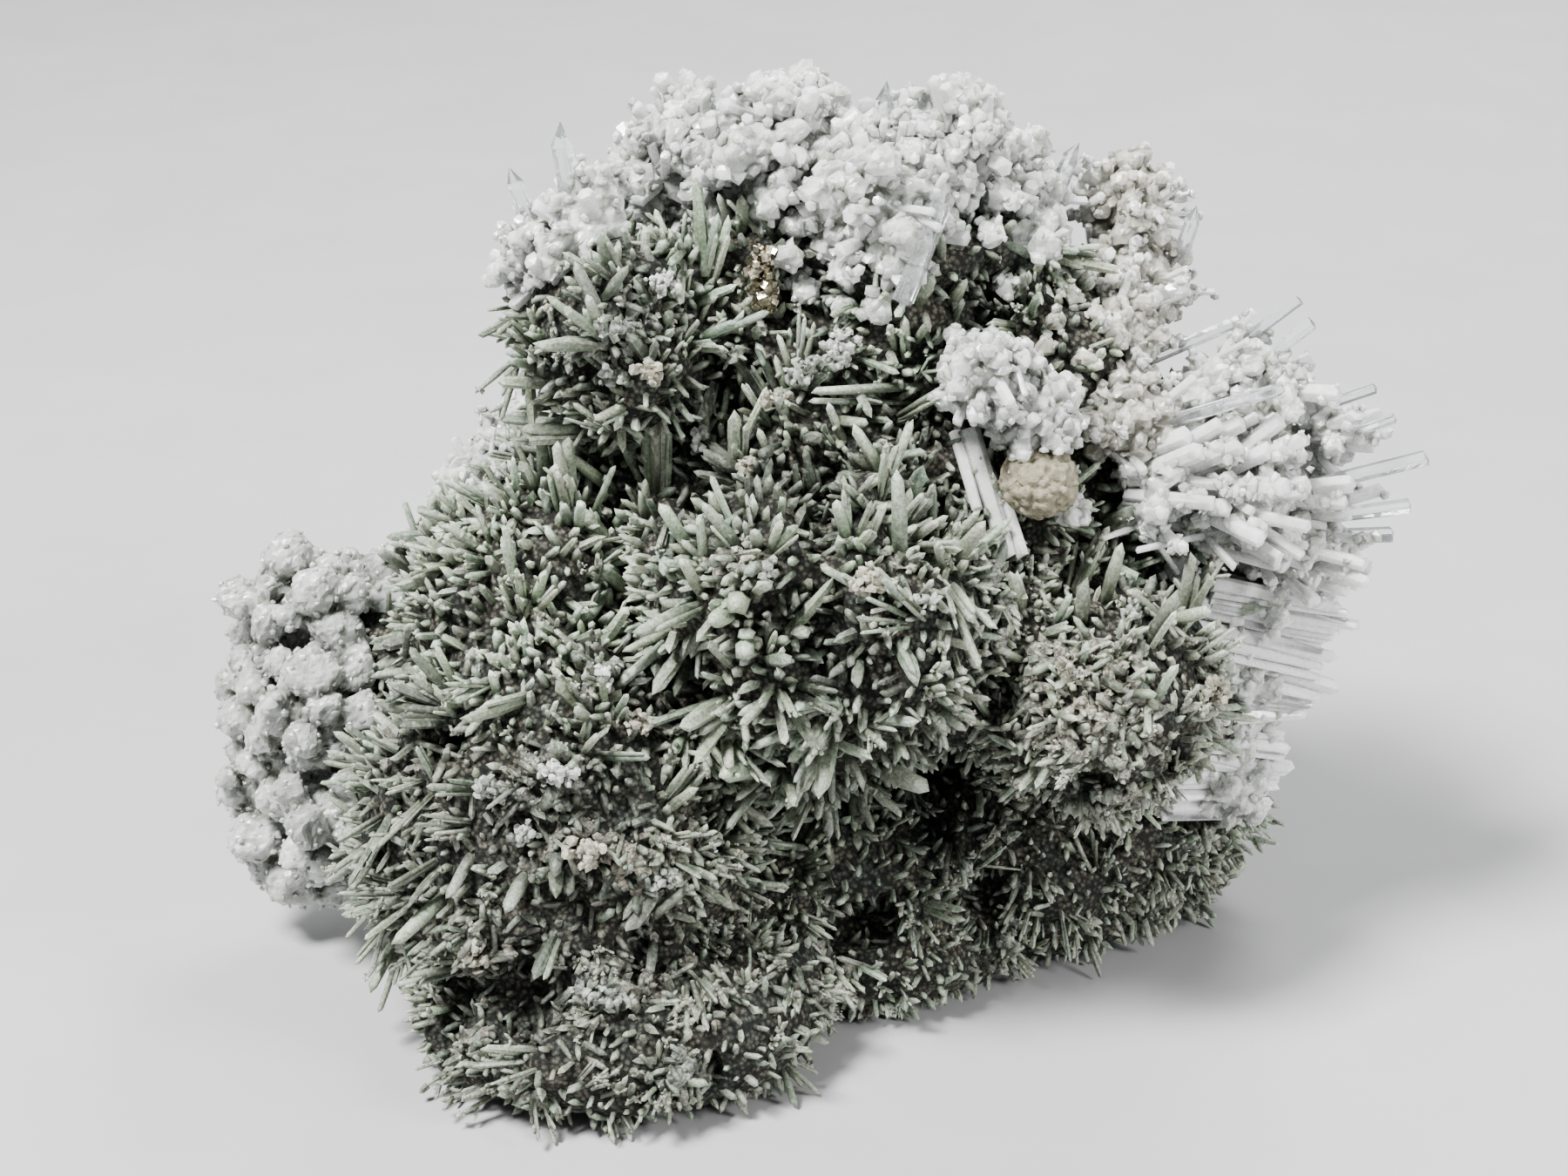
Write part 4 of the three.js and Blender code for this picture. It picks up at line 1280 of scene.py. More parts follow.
def in_crust(points, margin):
    """True inside any lump of a crust, grown by the margin."""
    inside = np.zeros(len(points), bool)
    for crust in CRUSTS.values():
        for x, y, z, radius in crust["lumps"]:
            inside |= np.linalg.norm(points - (x, y, z), axis=1) < radius + margin
    return inside


def on_bare_ground(points):
    """True in the places kept free of calcite."""
    bare = np.zeros(len(points), bool)
    for shape in BARE_GROUND.values():
        bare |= in_ellipsoid(points, shape)
    return bare


def in_calcite_zone(points):
    """True on the ground that bears calcite."""
    inside = np.zeros(len(points), bool)
    for crust in CRUSTS.values():
        inside |= in_ellipsoid(points, crust["zone"])
    return inside & ~on_bare_ground(points)


def growing_spots(rock_mesh, spacing, rng, everywhere=False):
    """Spots on the rock where green crystals grow: not underneath, and not under the calcite."""
    spots, normals, _ = scatter(*rock_mesh, spacing, rng)
    free = ~((spots[:, 2] < UNDERSIDE) & (normals[:, 2] < FACES_DOWN))
    free &= ~in_crust(spots, margin=-1.0)
    free &= everywhere | ~in_calcite_zone(spots)
    return spots[free], normals[free]


def needle_tint(shares, dust, rng):
    """Roots darkened by painted shade and pale tips, each needle a little different, with dust on some."""
    count = len(shares)
    share = np.clip(shares + rng.normal(0, SHARE_STRAY, (count, 1)), 0, 1)[..., None]
    tint = np.where(
        share < 0.5,
        GREEN_ROOT_PAINTED_SHADE + (GREEN_MIDDLE - GREEN_ROOT_PAINTED_SHADE) * share * 2,
        GREEN_MIDDLE + (GREEN_TIP - GREEN_MIDDLE) * (share * 2 - 1),
    )
    tint = tint * rng.uniform(*NEEDLE_SHADE, (count, 1, 1)) * (1 + rng.normal(0, HUE_STRAY, (count, 1, 3)))
    cover = (dust * rng.uniform(0, MOST_DUST, count))[:, None, None] * np.clip(share, ROOT_DUST, 1)
    return tint * (1 - cover) + DUST * cover


def spray_spots(rock_mesh, rng):
    """Where sprays grow, away from pits, vugs and the calcite, and the ways out of the rock there."""
    spots, normals = growing_spots(rock_mesh, SITE_SPACING, rng)
    bare = (pit_depth(spots) > BARE_PIT) | (vug_distance(spots) < BARE_PIT)
    bare |= (spots[:, 1] > BACK_LINE) & (rng.random(len(spots)) < BACK_THINNED)
    return spots[~bare], normals[~bare]


def spray_needles(rock_mesh):
    """Sprays of long needles: roots, tips, radii and dust."""
    rng = draws("sprays")
    spots, normals = spray_spots(rock_mesh, rng)
    length, width, dust, lean = region_values(spots, "length", "width", "dust", "lean")
    stray = rng.normal(size=spots.shape) * (SPRAY_STRAY[0] + SPRAY_STRAY[1] * dust)[:, None]
    lead = unit_rows(NORMAL_SHARE * normals + (1 - NORMAL_SHARE) * outward(spots) + lean + stray)
    half_angle = rng.uniform(*SPRAY_HALF_ANGLE, len(spots))
    length = length * rng.uniform(*SPRAY_LENGTH, len(spots))
    width = width * rng.uniform(*SPRAY_WIDTH, len(spots))
    per_site = rng.integers(*NEEDLES_PER_SITE, len(spots))
    site = np.repeat(np.arange(len(spots)), per_site)
    order = np.concatenate([np.arange(n) for n in per_site])
    share = np.sqrt((order + 0.5) / per_site[site])
    tilt = half_angle[site] * share * rng.uniform(*TILT_SPREAD, len(site))
    around = order * GOLDEN_ANGLE + rng.uniform(0, TURN_STRAY, len(site)) + site
    first, second = side_axes(lead, rng)
    across = np.cos(around)[:, None] * first[site] + np.sin(around)[:, None] * second[site]
    way = np.cos(tilt)[:, None] * lead[site] + np.sin(tilt)[:, None] * across
    long = rng.uniform(*NEEDLE_LENGTH, len(site)) * length[site] * (MIDDLE_LENGTH - EDGE_SHORTER * share)
    thick = spray_radii(long, rng) * width[site]
    start = spots[site] + across * (SPRAY_FOOT * share)[:, None]
    roots = start - NEEDLE_SEAT * way
    tips = keep_near_lobes(roots, start + way * long[:, None], NEEDLE_REACH)
    return with_companions(roots, tips, thick, dust[site], rng)


def spray_radii(long, rng):
    """Radii of needles of these lengths: more of them thin than thick, and the longer the thicker."""
    low, high = NEEDLE_RADIUS
    radii = low + (high - low) * rng.random(len(long)) ** THIN_MORE_OFTEN
    return radii * (SHORT_WIDTH + (1 - SHORT_WIDTH) * long / np.mean(NEEDLE_LENGTH))


def with_companions(roots, tips, thick, dust, rng):
    """The needles, and thinner ones grown along their sides."""
    host = rng.choice(len(roots), int(len(roots) * COMPANIONS))
    way = (tips - roots)[host]
    aside = unit_rows(np.cross(way, rng.normal(size=way.shape)))
    beside = aside * (thick[host] * rng.uniform(*COMPANION_GAP, len(host)))[:, None]
    ends = roots[host] + way * rng.uniform(*COMPANION_LENGTH, (len(host), 1)) + beside * COMPANION_LEAN
    slim = thick[host] * rng.uniform(*COMPANION_RADIUS, len(host))
    return (
        np.concatenate((roots, roots[host] + beside)),
        np.concatenate((tips, ends)),
        np.concatenate((thick, slim)),
        np.concatenate((dust, dust[host])),
    )


def side_needles(roots, tips, radii, dust):
    """Small crystals that lean out from the flanks of the long needles: roots, tips, radii and dust."""
    rng = draws("sides")
    host = rng.choice(len(roots), int(len(roots) * SIDE_NEEDLES))
    way = unit_rows(tips - roots)[host]
    long = np.linalg.norm(tips - roots, axis=1)[host]
    spot = roots[host] + way * (long * rng.uniform(*SIDE_PLACE, len(host)))[:, None]
    aside = unit_rows(np.cross(way, rng.normal(size=way.shape)))
    lean = unit_rows(way + aside * rng.uniform(*SIDE_LEAN, (len(host), 1)))
    reach = rng.uniform(*SIDE_LENGTH, len(host)) + radii[host]
    return spot, spot + lean * reach[:, None], rng.uniform(*SIDE_RADIUS, len(host)), dust[host]


def fill_needles(rock_mesh):
    """Short crystals that cover the rock between the sprays: roots, tips, radii and dust."""
    rng = draws("fill")
    spots, normals = growing_spots(rock_mesh, FILL_SPACING, rng, everywhere=True)
    length, width, dust, lean = region_values(spots, "length", "width", "dust", "lean")
    stray = rng.normal(size=spots.shape) * (FILL_STRAY[0] + FILL_STRAY[1] * dust)[:, None]
    way = unit_rows(normals + FILL_LEAN * lean + stray)
    long = rng.uniform(*FILL_LENGTH, len(spots)) * (FILL_FIXED + (1 - FILL_FIXED) * length)
    thick = rng.uniform(*FILL_RADIUS, len(spots)) * (FILL_FIXED + (1 - FILL_FIXED) * width)
    return spots - FILL_SEAT * way, spots + way * long[:, None], thick, dust


def aggregates(tree, look):
    """The granular lumps placed by pixel, one piece."""
    rng = draws("aggregates")
    meshes = []
    tints = []
    for pixel, rise, radius, shade in AGGREGATES.values():
        foot = seen_on(tree, pixel)
        count = int(AGGREGATE_GRAINS * (radius / AGGREGATE_RADIUS) ** 2)
        way = unit_rows(rng.normal(size=(count, 3)))
        spread = radius * rng.uniform(*AGGREGATE_FILL, (count, 1)) * AGGREGATE_SHAPE
        high = rng.random((count, 1)) < AGGREGATE_TOP
        centre = np.where(high, at_depth(pixel, depth_of(foot) - rise), foot)
        places = centre + (foot - centre) * rng.uniform(0, AGGREGATE_STALK, (count, 1)) + way * spread
        bodies, faces = nuggets(places, rng.uniform(*AGGREGATE_GRAIN, count), rng, rough=0.1, **SMALL_GRAIN)
        meshes.append(flatten(bodies, faces))
        tint = SHADES[shade] * rng.uniform(*AGGREGATE_SHADE, (count, 1))
        tints.append(np.repeat(tint, bodies.shape[1], axis=0))
    make_green_piece("aggregates", join(*meshes), look, np.concatenate(tints))


def seen_on(tree, pixel):
    """Where the ray of a pixel first meets the mesh of the tree."""
    hit = tree.ray_cast(Vector(CAMERA_PLACE), Vector(pixel_ray(pixel)))[0]
    if hit is None:
        raise ValueError(f"no rock shows at pixel {pixel}")
    return np.array(hit)


def named_needles(tree):
    """The needles placed by pixel: roots, tips, radii and dust."""
    roots = []
    tips = []
    radii = []
    for root_pixel, tip_pixel, radius, rise in NAMED_NEEDLES.values():
        hit = seen_on(tree, root_pixel)
        tip = at_depth(tip_pixel, depth_of(hit) - rise)
        roots.append(hit + unit_rows(hit - tip) * NAMED_SEAT)
        tips.append(tip)
        radii.append(radius)
    return np.array(roots), np.array(tips), np.array(radii), np.full(len(roots), NAMED_DUST)


def in_picture(points):
    """Where points show in the picture, in mm at the middle of the block."""
    way = points - CAMERA_PLACE
    return np.stack((way @ RIGHTWARD, way @ UPWARD), axis=1) * (CAMERA_DISTANCE / (way @ FORWARD))[:, None]


def near_segments(points, starts, ends, reach):
    """True for each point within the reach of one of the segments."""
    way = ends - starts
    share = np.einsum("nmd,md->nm", points[:, None] - starts, way) / np.sum(way**2, axis=1)
    closest = starts + np.clip(share, 0, 1)[..., None] * way
    return np.any(np.linalg.norm(points[:, None] - closest, axis=2) < reach, axis=1)


def dusty_spots(rock_mesh, rng):
    """Where the crumbly crust grows: spots on the rock, the ways out, and how well each is covered."""
    spots, normals, _ = scatter(*rock_mesh, DUSTY_SPACING, rng)
    rim, slope = DUSTY_RIM
    cover = lattice_noise(spots, DUSTY_PATCH, seed=14) + bumps(spots, *DUSTY_EDGES)
    cover += slope * region_values(spots, "dust")[0] - rim
    for centre, radius in DUSTY_PLACES.values():
        share = np.linalg.norm(spots - centre, axis=1) / radius
        cover += np.clip(DUSTY_PLACE_EDGE - share, 0, DUSTY_PLACE_COVER)
    grows = (cover > 0) & ~in_crust(spots, margin=0)
    grows &= (vug_distance(spots) > DUSTY_VUG_GAP) & (spots[:, 2] > UNDERSIDE)
    return spots[grows], normals[grows], cover[grows]


def dusty_tint(points, faces, shade, rng):
    """The crumbly crust drawn onto flat grains: its points, and a tan or grey tint for each."""
    tan = np.clip(0.5 + lattice_noise(points, TAN_PATCH, seed=17), 0, 1)[:, None]
    points, own = facet(points, faces, DUSTY_FACET, rng)
    count = own.max() + 1
    grain = rng.uniform(*DUSTY_GRAIN, count) * np.where(rng.random(count) < DARK_GRAINS, DARK_GRAIN, 1)
    # Painted shade darkens the crust in its creases, and painted light and shade by region scales it.
    light = (DUSTY_PAINTED_SHADE + DUSTY_PAINTED_LIGHT * shade) * grain[own] * painted_region_light(points)
    return points, (CREAM * tan + PALE_GREY * (1 - tan)) * light[:, None]


def dusty_crust(rock_mesh):
    """The crumbly crust between the needles, and its mesh for the crumbs to sit on."""
    rng = draws("dusty")
    spots, normals, cover = dusty_spots(rock_mesh, rng)
    field = LumpField(ROCK_LOW, ROCK_HIGH, DUSTY_STEP)
    for share in DUSTY_LAYERS:
        uneven = np.clip(cover * 2, DUSTY_THIN, 1) * rng.uniform(*DUSTY_UNEVEN, len(spots))
        height = DUSTY_HEIGHT * share * uneven
        places = spots + normals * height[:, None] + rng.normal(0, DUSTY_STRAY, spots.shape) * share
        field.add_cut_lumps(places, rng.uniform(*DUSTY_BALL, len(spots)), rng, cuts=6)
    field.roughen(*DUSTY_ROUGH)
    points, faces = field.mesh()
    shade = painted_crease_shade(points, faces, CREASE_DEPTH * DUSTY_STEP)
    points, tint = dusty_tint(points, faces, shade, rng)
    make_green_piece("crumbly_crust", (points, faces), crumbly_look(), tint)
    return points, faces


def rubble(dusty_mesh):
    """Stubby crystals that lie on the crumbly crust: roots, tips, radii and dust."""
    rng = draws("rubble")
    spots, _, _ = scatter(*dusty_mesh, RUBBLE_SPACING, rng)
    way = unit_rows(RUBBLE_LEAN * outward(spots) + rng.normal(0, RUBBLE_LEAN, spots.shape))
    long = rng.uniform(*RUBBLE_LENGTH, len(spots))[:, None]
    dust = rng.uniform(*RUBBLE_DUST, len(spots))
    roots = spots - way * long * (1 - RUBBLE_OUT)
    return roots, spots + way * long * RUBBLE_OUT, rng.uniform(*RUBBLE_RADIUS, len(spots)), dust


def crumb_bodies(places, radii, rng):
    """Crumbs of eight faces, each a little out of true: points (n, 6, 3) and the faces of one."""
    reach = rng.uniform(*CRUMB_CORNER, (len(places), 6, 1)) * radii[:, None, None]
    corners = np.concatenate((np.eye(3), -np.eye(3))) * reach
    faces = [(0, 1, 2), (1, 3, 2), (3, 4, 2), (4, 0, 2), (1, 0, 5), (3, 1, 5), (4, 3, 5), (0, 4, 5)]
    turned = np.einsum("nkd,nde->nke", corners, random_turns(len(places), rng))
    return places[:, None] + turned, np.array(faces)


def random_turns(count, rng):
    """One random set of three axes for each body."""
    first = unit_rows(rng.normal(size=(count, 3)))
    second, third = side_axes(first, rng)
    return np.stack((first, second, third), axis=1)


def crumbs_on_needles(needles, rng):
    """Clumps of crumbs on the flanks of the needles, each with a second crumb on top: places and radii."""
    roots, tips, thick, dust = needles
    extra, power = CRUMB_CHANCE
    chance = (dust + extra) ** power
    host = np.repeat(rng.choice(len(roots), CRUMB_CLUMPS, p=chance / chance.sum()), CRUMBS_PER_CLUMP)
    size = rng.uniform(*CRUMB_RADIUS, len(host))
    way = tips[host] - roots[host]
    level = np.repeat(rng.uniform(*CRUMB_LEVEL, CRUMB_CLUMPS), CRUMBS_PER_CLUMP)
    level = np.clip(level + rng.normal(0, CRUMB_LEVEL_STRAY, len(host)), 0, 1)
    aside = unit_rows(np.cross(way, rng.normal(size=way.shape)))
    away = thick[host] * CRUMB_SEAT[0] + CRUMB_SEAT[1] * size
    place = roots[host] + way * level[:, None] + aside * away[:, None]
    top_size = rng.uniform(*CRUMB_RADIUS, len(host))
    top = place + unit_rows(rng.normal(size=place.shape) + aside) * (CRUMB_STACK * (size + top_size))[:, None]
    return np.concatenate((place, top)), np.concatenate((size, top_size))


def crumbs(dusty_mesh, needles, look):
    """Clumps of crumbs on the needles, and a sprinkle on the crumbly crust."""
    rng = draws("crumbs")
    places, sizes = crumbs_on_needles(needles, rng)
    spots, normals, _ = scatter(*dusty_mesh, GROUND_CRUMBS, rng)
    ground = spots + normals * rng.uniform(*GROUND_CRUMB_RISE, (len(spots), 1))
    places = np.concatenate((places, ground))
    sizes = np.concatenate((sizes, rng.uniform(*CRUMB_RADIUS, len(ground)) * GROUND_CRUMB_SIZE))
    fits = inside_box(places, sizes + FLOOR_GAP)
    bodies, faces = crumb_bodies(places[fits], sizes[fits], rng)
    kind = rng.choice(len(CRUMB_COLOURS), len(bodies), p=CRUMB_COLOURS)
    tint = np.array((CREAM, PALE_GREY, DARK_GREY))[kind] * rng.uniform(*CRUMB_SHADE, (len(bodies), 1))
    # Painted light and shade by region.
    tint = tint * painted_region_light(places[fits])[:, None]
    make_green_piece("crumbs", flatten(bodies, faces), look, np.repeat(tint, bodies.shape[1], axis=0))


def split_by_side(places):
    """Which of four pieces each crystal goes in, by where it grows."""
    back = places[:, 1] > BACK_LINE
    left = places[:, 0] < -MIDDLE_HALF
    right = places[:, 0] > MIDDLE_HALF
    return {
        "back": back,
        "left": ~back & left,
        "right": ~back & right,
        "middle": ~back & ~left & ~right,
    }


def clear_of_named(sprays, named):
    """The sprays without the needles that hide a named one in the picture."""
    tips, starts, ends = (in_picture(points) for points in (sprays[1], named[0], named[1]))
    clear = ~near_segments(tips, starts, ends, HERO_CLEARANCE) | (sprays[0][:, 1] > BACK_LINE)
    return [part[clear] for part in sprays]


def green_crystals(kind, number, needles, shape, look):
    """The crystals of one kind, in one piece for each side of the block."""
    roots, tips, thick, dust = needles
    rng = draws("needle_bodies", number)
    tips = keep_in_box(roots, tips)
    kept = ~in_crust(tips, margin=-1.5) & (roots[:, 2] > thick)
    # Painted shade darkens the crystals in pits and by vugs, and the regions add painted light and shade.
    depth = np.maximum(pit_depth(tips), BARE_PIT - vug_distance(tips))
    painted_light_and_shade = (1 - PAINTED_PIT_SHADE * np.clip(depth / DEEPEST_PAINTED_PIT_SHADE, 0, 1)) * painted_region_light(tips)
    for side, chosen in split_by_side(roots).items():
        pick = chosen & kept
        if not pick.any():
            continue
        bodies, faces, shares = crystals(roots[pick], tips[pick], thick[pick], rng, **shape)
        # Painted light: the named needles are drawn brighter than the others.
        shine = painted_light_and_shade[pick] * (HERO_PAINTED_LIGHT if kind == "named_needles" else 1)
        tint = (needle_tint(shares, dust[pick], rng) * shine[:, None, None]).reshape(-1, 3)
        smooth = np.repeat(rng.random(len(bodies)) < SMOOTH_SHARE, len(faces))
        make_green_piece(f"{kind}_{side}", flatten(bodies, faces), look, tint, smooth)


def green_needles(rock_mesh):
    """All the green quartz, and the crumbly crust, crumbs and clumps of grains in it."""
    look = green_quartz_look()
    dusty_mesh = dusty_crust(rock_mesh)
    tree = BVHTree.FromPolygons(*(part.tolist() for part in rock_mesh))
    named = with_companions(*named_needles(tree), draws("companions"))
    sprays = clear_of_named(spray_needles(rock_mesh), named)
    long = np.linalg.norm(sprays[1] - sprays[0], axis=1) > LONG_NEEDLE
    five_sided = dict(POINTED_STUB, sides=5)
    makes = {
        "named_needles": (named, dict()),
        "long_needles": ([part[long] for part in sprays], dict()),
        "short_needles": ([part[~long] for part in sprays], POINTED_STUB),
        "side_needles": (side_needles(*sprays), five_sided),
        "druse": (fill_needles(rock_mesh), five_sided),
        "rubble": (rubble(dusty_mesh), five_sided),
    }
    for number, (kind, (needles, shape)) in enumerate(makes.items()):
        green_crystals(kind, number, needles, shape, look)
    crumbs(dusty_mesh, sprays, look)
    aggregates(tree, look)


def lump_spots(crust, spacing, rng):
    """Spots on a crust's lumps that aren't inside another lump or the rock, and the ways out."""
    spots = []
    ways = []
    lumps = np.array(crust["lumps"], float)
    for k, (x, y, z, radius) in enumerate(lumps):
        count = int(4 * math.pi * (radius * LUMP_SKIN) ** 2 / spacing**2 / SPOT_AREA)
        order = np.arange(count)
        height = 1 - 2 * (order + 0.5) / count
        turn = order * GOLDEN_ANGLE + k
        round_part = np.sqrt(1 - height**2)
        way = np.stack((round_part * np.cos(turn), round_part * np.sin(turn), height), axis=1)
        way = unit_rows(way + rng.normal(0, WAY_STRAY, (count, 3)))
        place = np.array((x, y, z)) + way * radius * rng.uniform(*NODULE_SEAT, (count, 1))
        free = rock_distance(place) > DEEPEST_SPOT
        for other in np.delete(lumps, k, axis=0):
            free &= np.linalg.norm(place - other[:3], axis=1) > other[3] * INSIDE_OTHER
        spots.append(place[free])
        ways.append(way[free])
    return np.concatenate(spots), np.concatenate(ways)


def crust_nodules(crust, rock_mesh, rng):
    """Middles, ways out and radii of the nodules of a crust, on its lumps and on the rock by them."""
    places, ways = lump_spots(crust, crust["spacing"], rng)
    on_rock, normals, _ = scatter(*rock_mesh, crust["spacing"], rng)
    near = in_ellipsoid(on_rock, crust["zone"])
    places = np.concatenate((places, on_rock[near] + normals[near]))
    ways = np.concatenate((ways, unit_rows(normals[near] + outward(on_rock[near]))))
    covered = ~on_bare_ground(places)
    places, ways = places[covered], ways[covered]
    radii = rng.uniform(*crust["nodule"], len(places))
    scale = rng.choice((SMALL_NODULE, 1), len(places), p=(SMALL_SHARE, 1 - SMALL_SHARE))
    return places, ways, radii * scale


def towers_on(places, ways, radii, share, rng):
    """More nodules, each on the outside of one of these."""
    grow = rng.random(len(places)) < share
    way = unit_rows(ways[grow] + rng.normal(0, TOWER_STRAY, (grow.sum(), 3)))
    size = radii[grow] * rng.uniform(*TOWER_SIZE, grow.sum())
    away = radii[grow] * TOWER_SEAT[0] + size * TOWER_SEAT[1]
    return places[grow] + way * away[:, None], way, size


def inside_box(places, margins):
    """True where a lump with that margin round its middle stays in the solids' box."""
    above = places > BOX_LOW + margins[:, None]
    return np.all(above & (places < BOX_HIGH - margins[:, None]), axis=1)


def shades(bodies, rng, low=0.8, high=1.0):
    """One grey for each body, for all its points."""
    shade = rng.uniform(low, high, (len(bodies), 1, 1)) * np.ones((1, bodies.shape[1], 3))
    return shade.reshape(-1, 3)


def crust_mesh(crust, places, radii, rng):
    """The nodules grown into one crust."""
    low = np.min(places - radii[:, None] * 1.3, axis=0) - 2
    high = np.max(places + radii[:, None] * 1.3, axis=0) + 2
    field = LumpField(low, high, crust["step"])
    for x, y, z, radius in crust["lumps"]:
        field.add(np.array((x, y, z)), radius * crust["core"], np.zeros((0, 3)), 0)
    field.add_cut_lumps(places, radii, rng)
    field.roughen(*CRUST_ROUGH)
    points, faces = field.mesh()
    return (points, faces), field.openness(points, GAP_REACH)


def crust_grains(crust, mesh, shade, rng):
    """Small blocky and flat crystals that cover a crust: a mesh, and its points' tint."""
    spots, normals, face = scatter(*mesh, crust["grain_spacing"], rng)
    radii = rng.uniform(*crust["grain"], len(spots)) * (1 + bumps(spots, *GRAIN_PATCHES))
    places = spots + normals * (radii * rng.uniform(*GRAIN_RISE, len(spots)))[:, None]
    fits = inside_box(places, radii)
    bodies, faces = nuggets(places[fits], radii[fits], rng, rough=0.08, **SMALL_GRAIN)
    # Each grain is drawn with the painted shade of the crust under it.
    ground = shade[mesh[1][face[fits]]].mean(axis=1)
    tint = (CRUST_PAINTED_SHADE + (1 - CRUST_PAINTED_SHADE) * ground) * rng.uniform(*GRAIN_SHADE, len(bodies))
    return flatten(bodies, faces), np.repeat(tint, bodies.shape[1])[:, None] * np.ones(3)


def milky_prisms(look, white):
    """Prisms that stand out of the calcite, one piece for each crust."""
    for number, (node, style) in enumerate(MILKY_PRISMS.items()):
        rng = draws("milky_prisms", number)
        places, ways = lump_spots(CRUSTS[node], PRISM_SPACING, rng)
        clear = np.linalg.norm(places - np.mean(PYRITE_STRIP, axis=0), axis=1) > PYRITE_CLEARANCE
        clear &= ~on_bare_ground(places)
        places, ways = places[clear], ways[clear]
        pick = rng.choice(len(places), min(style["count"], len(places)), replace=False)
        way = unit_rows(ways[pick] + style["lean"] + rng.normal(0, style["spread"], (len(pick), 3)))
        long = rng.uniform(*style["length"], len(pick))
        roots = places[pick] - way * (long * PRISM_SEAT)[:, None]
        tips = keep_in_box(roots, roots + way * long[:, None])
        thick = rng.uniform(*style["radius"], len(pick))
        bodies, faces, _ = crystals(roots, tips, thick, rng, **BLUNT_END)
        tint = shades(bodies, rng, 0.85)
        make_piece(node + "_prisms", flatten(bodies, faces), look, [node], tint)
        bearer = np.repeat(np.flatnonzero(rng.random(len(pick)) < ENCRUSTED), GRAINS_PER_PRISM)
        along = rng.uniform(*BEARING_HALF, (len(bearer), 1))
        aside = unit_rows(np.cross(way[bearer], rng.normal(size=(len(bearer), 3))))
        spots = roots[bearer] + (tips - roots)[bearer] * along
        spots = spots + aside * (thick[bearer] * GRAIN_SEAT)[:, None]
        radii = rng.uniform(*CRUSTS[node]["grain"], len(bearer))
        fits = inside_box(spots, radii)
        bodies, faces = nuggets(spots[fits], radii[fits], rng, rough=0.08, **SMALL_GRAIN)
        tint = shades(bodies, rng)
        make_piece(node + "_prism_grains", flatten(bodies, faces), white, [node], tint)


def columns(prisms):
    """Roots, tips and radii of a table of prisms."""
    return [np.array(part, float) for part in zip(*prisms.values())]


def single_prisms(look, white):
    """Single milky crystals and one smooth nodule, by the tan lump."""
    rng = draws("single_prisms")
    bodies, faces, _ = crystals(*columns(SINGLE_PRISMS), rng, **BLUNT_END)
    tint = shades(bodies, rng)
    make_piece("single_prisms", flatten(bodies, faces), look, ["calcite_centre"], tint)
    centre, radius = PALE_NODULE
    way = unit_rows(rng.normal(size=(PALE_LUMPS, 3)))
    bodies, faces = nuggets(centre + way * radius * PALE_SPREAD, rng.uniform(*PALE_LUMP, PALE_LUMPS), rng)
    tint = shades(bodies, rng, low=0.9)
    make_piece("pale_nodule", flatten(bodies, faces), white, ["calcite_centre"], tint)


def calcite_crusts(rock_mesh, white):
    """Each calcite node as a crust of nodules and a skin of grains."""
    beige = calcite_look("calcite_beige", (0.78, 0.77, 0.71), (0.52, 0.50, 0.43))
    for number, node in enumerate(CRUSTS):
        crust = USUAL_CRUST | CRUSTS[node]
        rng = draws("crusts", number)
        places, ways, radii = crust_nodules(crust, rock_mesh, rng)
        towers = towers_on(places, ways, radii, crust["towers"], rng)
        places, ways, radii = (np.concatenate(pair) for pair in zip((places, ways, radii), towers))
        fits = inside_box(places, radii * 0.9)
        mesh, openness = crust_mesh(crust, places[fits], radii[fits], rng)
        # The crust's tint is painted shade, darker in its creases and deep gaps.
        shade = painted_crease_shade(*mesh, CREASE_DEPTH * crust["step"])
        shade = shade * (CRUST_PAINTED_SHADE + (1 - CRUST_PAINTED_SHADE) * openness)
        points, own = facet(*mesh, crust["facet"], rng)
        mesh = points, mesh[1]
        shine = rng.uniform(*FACET_SHADE, own.max() + 1)[own]
        tint = (CREASE_PAINTED_SHADE + (1 - CREASE_PAINTED_SHADE) * shade[:, None]) * (shine * crust["shade"])[:, None]
        look, slot = (beige, "calcite_beige") if node == "calcite_arm" else (white, "calcite")
        make_piece(node + "_crust", mesh, look, [node], tint)
        grains, grain_tint = crust_grains(crust, mesh, shade * crust["shade"], rng)
        make_piece(node + "_grains", grains, look, [node], grain_tint)


def calcite_blades(look):
    """Fans of long flat crystals side by side, whose ends make a jagged edge on the right."""
    rng = draws("blades")
    roots = []
    tips = []
    for fan in BLADE_FANS.values():
        start, end = np.array(fan["start"], float), np.array(fan["end"], float)
        across = unit_rows(np.cross(end - start, (0, 1, 0.1)))
        for layer in range(BLADE_LAYERS):
            back = LAYER_STEP * layer
            for place in np.linspace(-0.5, 0.5, fan["blades"]):
                shift = across * place
                root = start + back + shift * fan["starts"] + rng.normal(0, BLADE_STRAY, 3)
                reach = rng.uniform(*BLADE_REACH) - EDGE_BLADE_SHORTER * abs(place)
                tip = root + (end + back + shift * fan["ends"] - root) * reach
                roots.append(root)
                tips.append(tip + rng.normal(0, BLADE_TIP_STRAY, 3))
    roots, tips = np.array(roots), np.array(tips)
    facing = unit_rows(BLADE_FACING + rng.normal(0, BLADE_TURN, roots.shape))
    breadth = rng.uniform(*BLADE_BREADTH, len(roots))
    bodies, faces, _ = crystals(roots, keep_in_box(roots, tips), breadth, rng, thin=facing, **BLADE_SHAPE)
    tint = shades(bodies, rng, *BLADE_SHADE)
    make_piece("calcite_blade_fans", flatten(bodies, faces), look, ["calcite_blades"], tint)


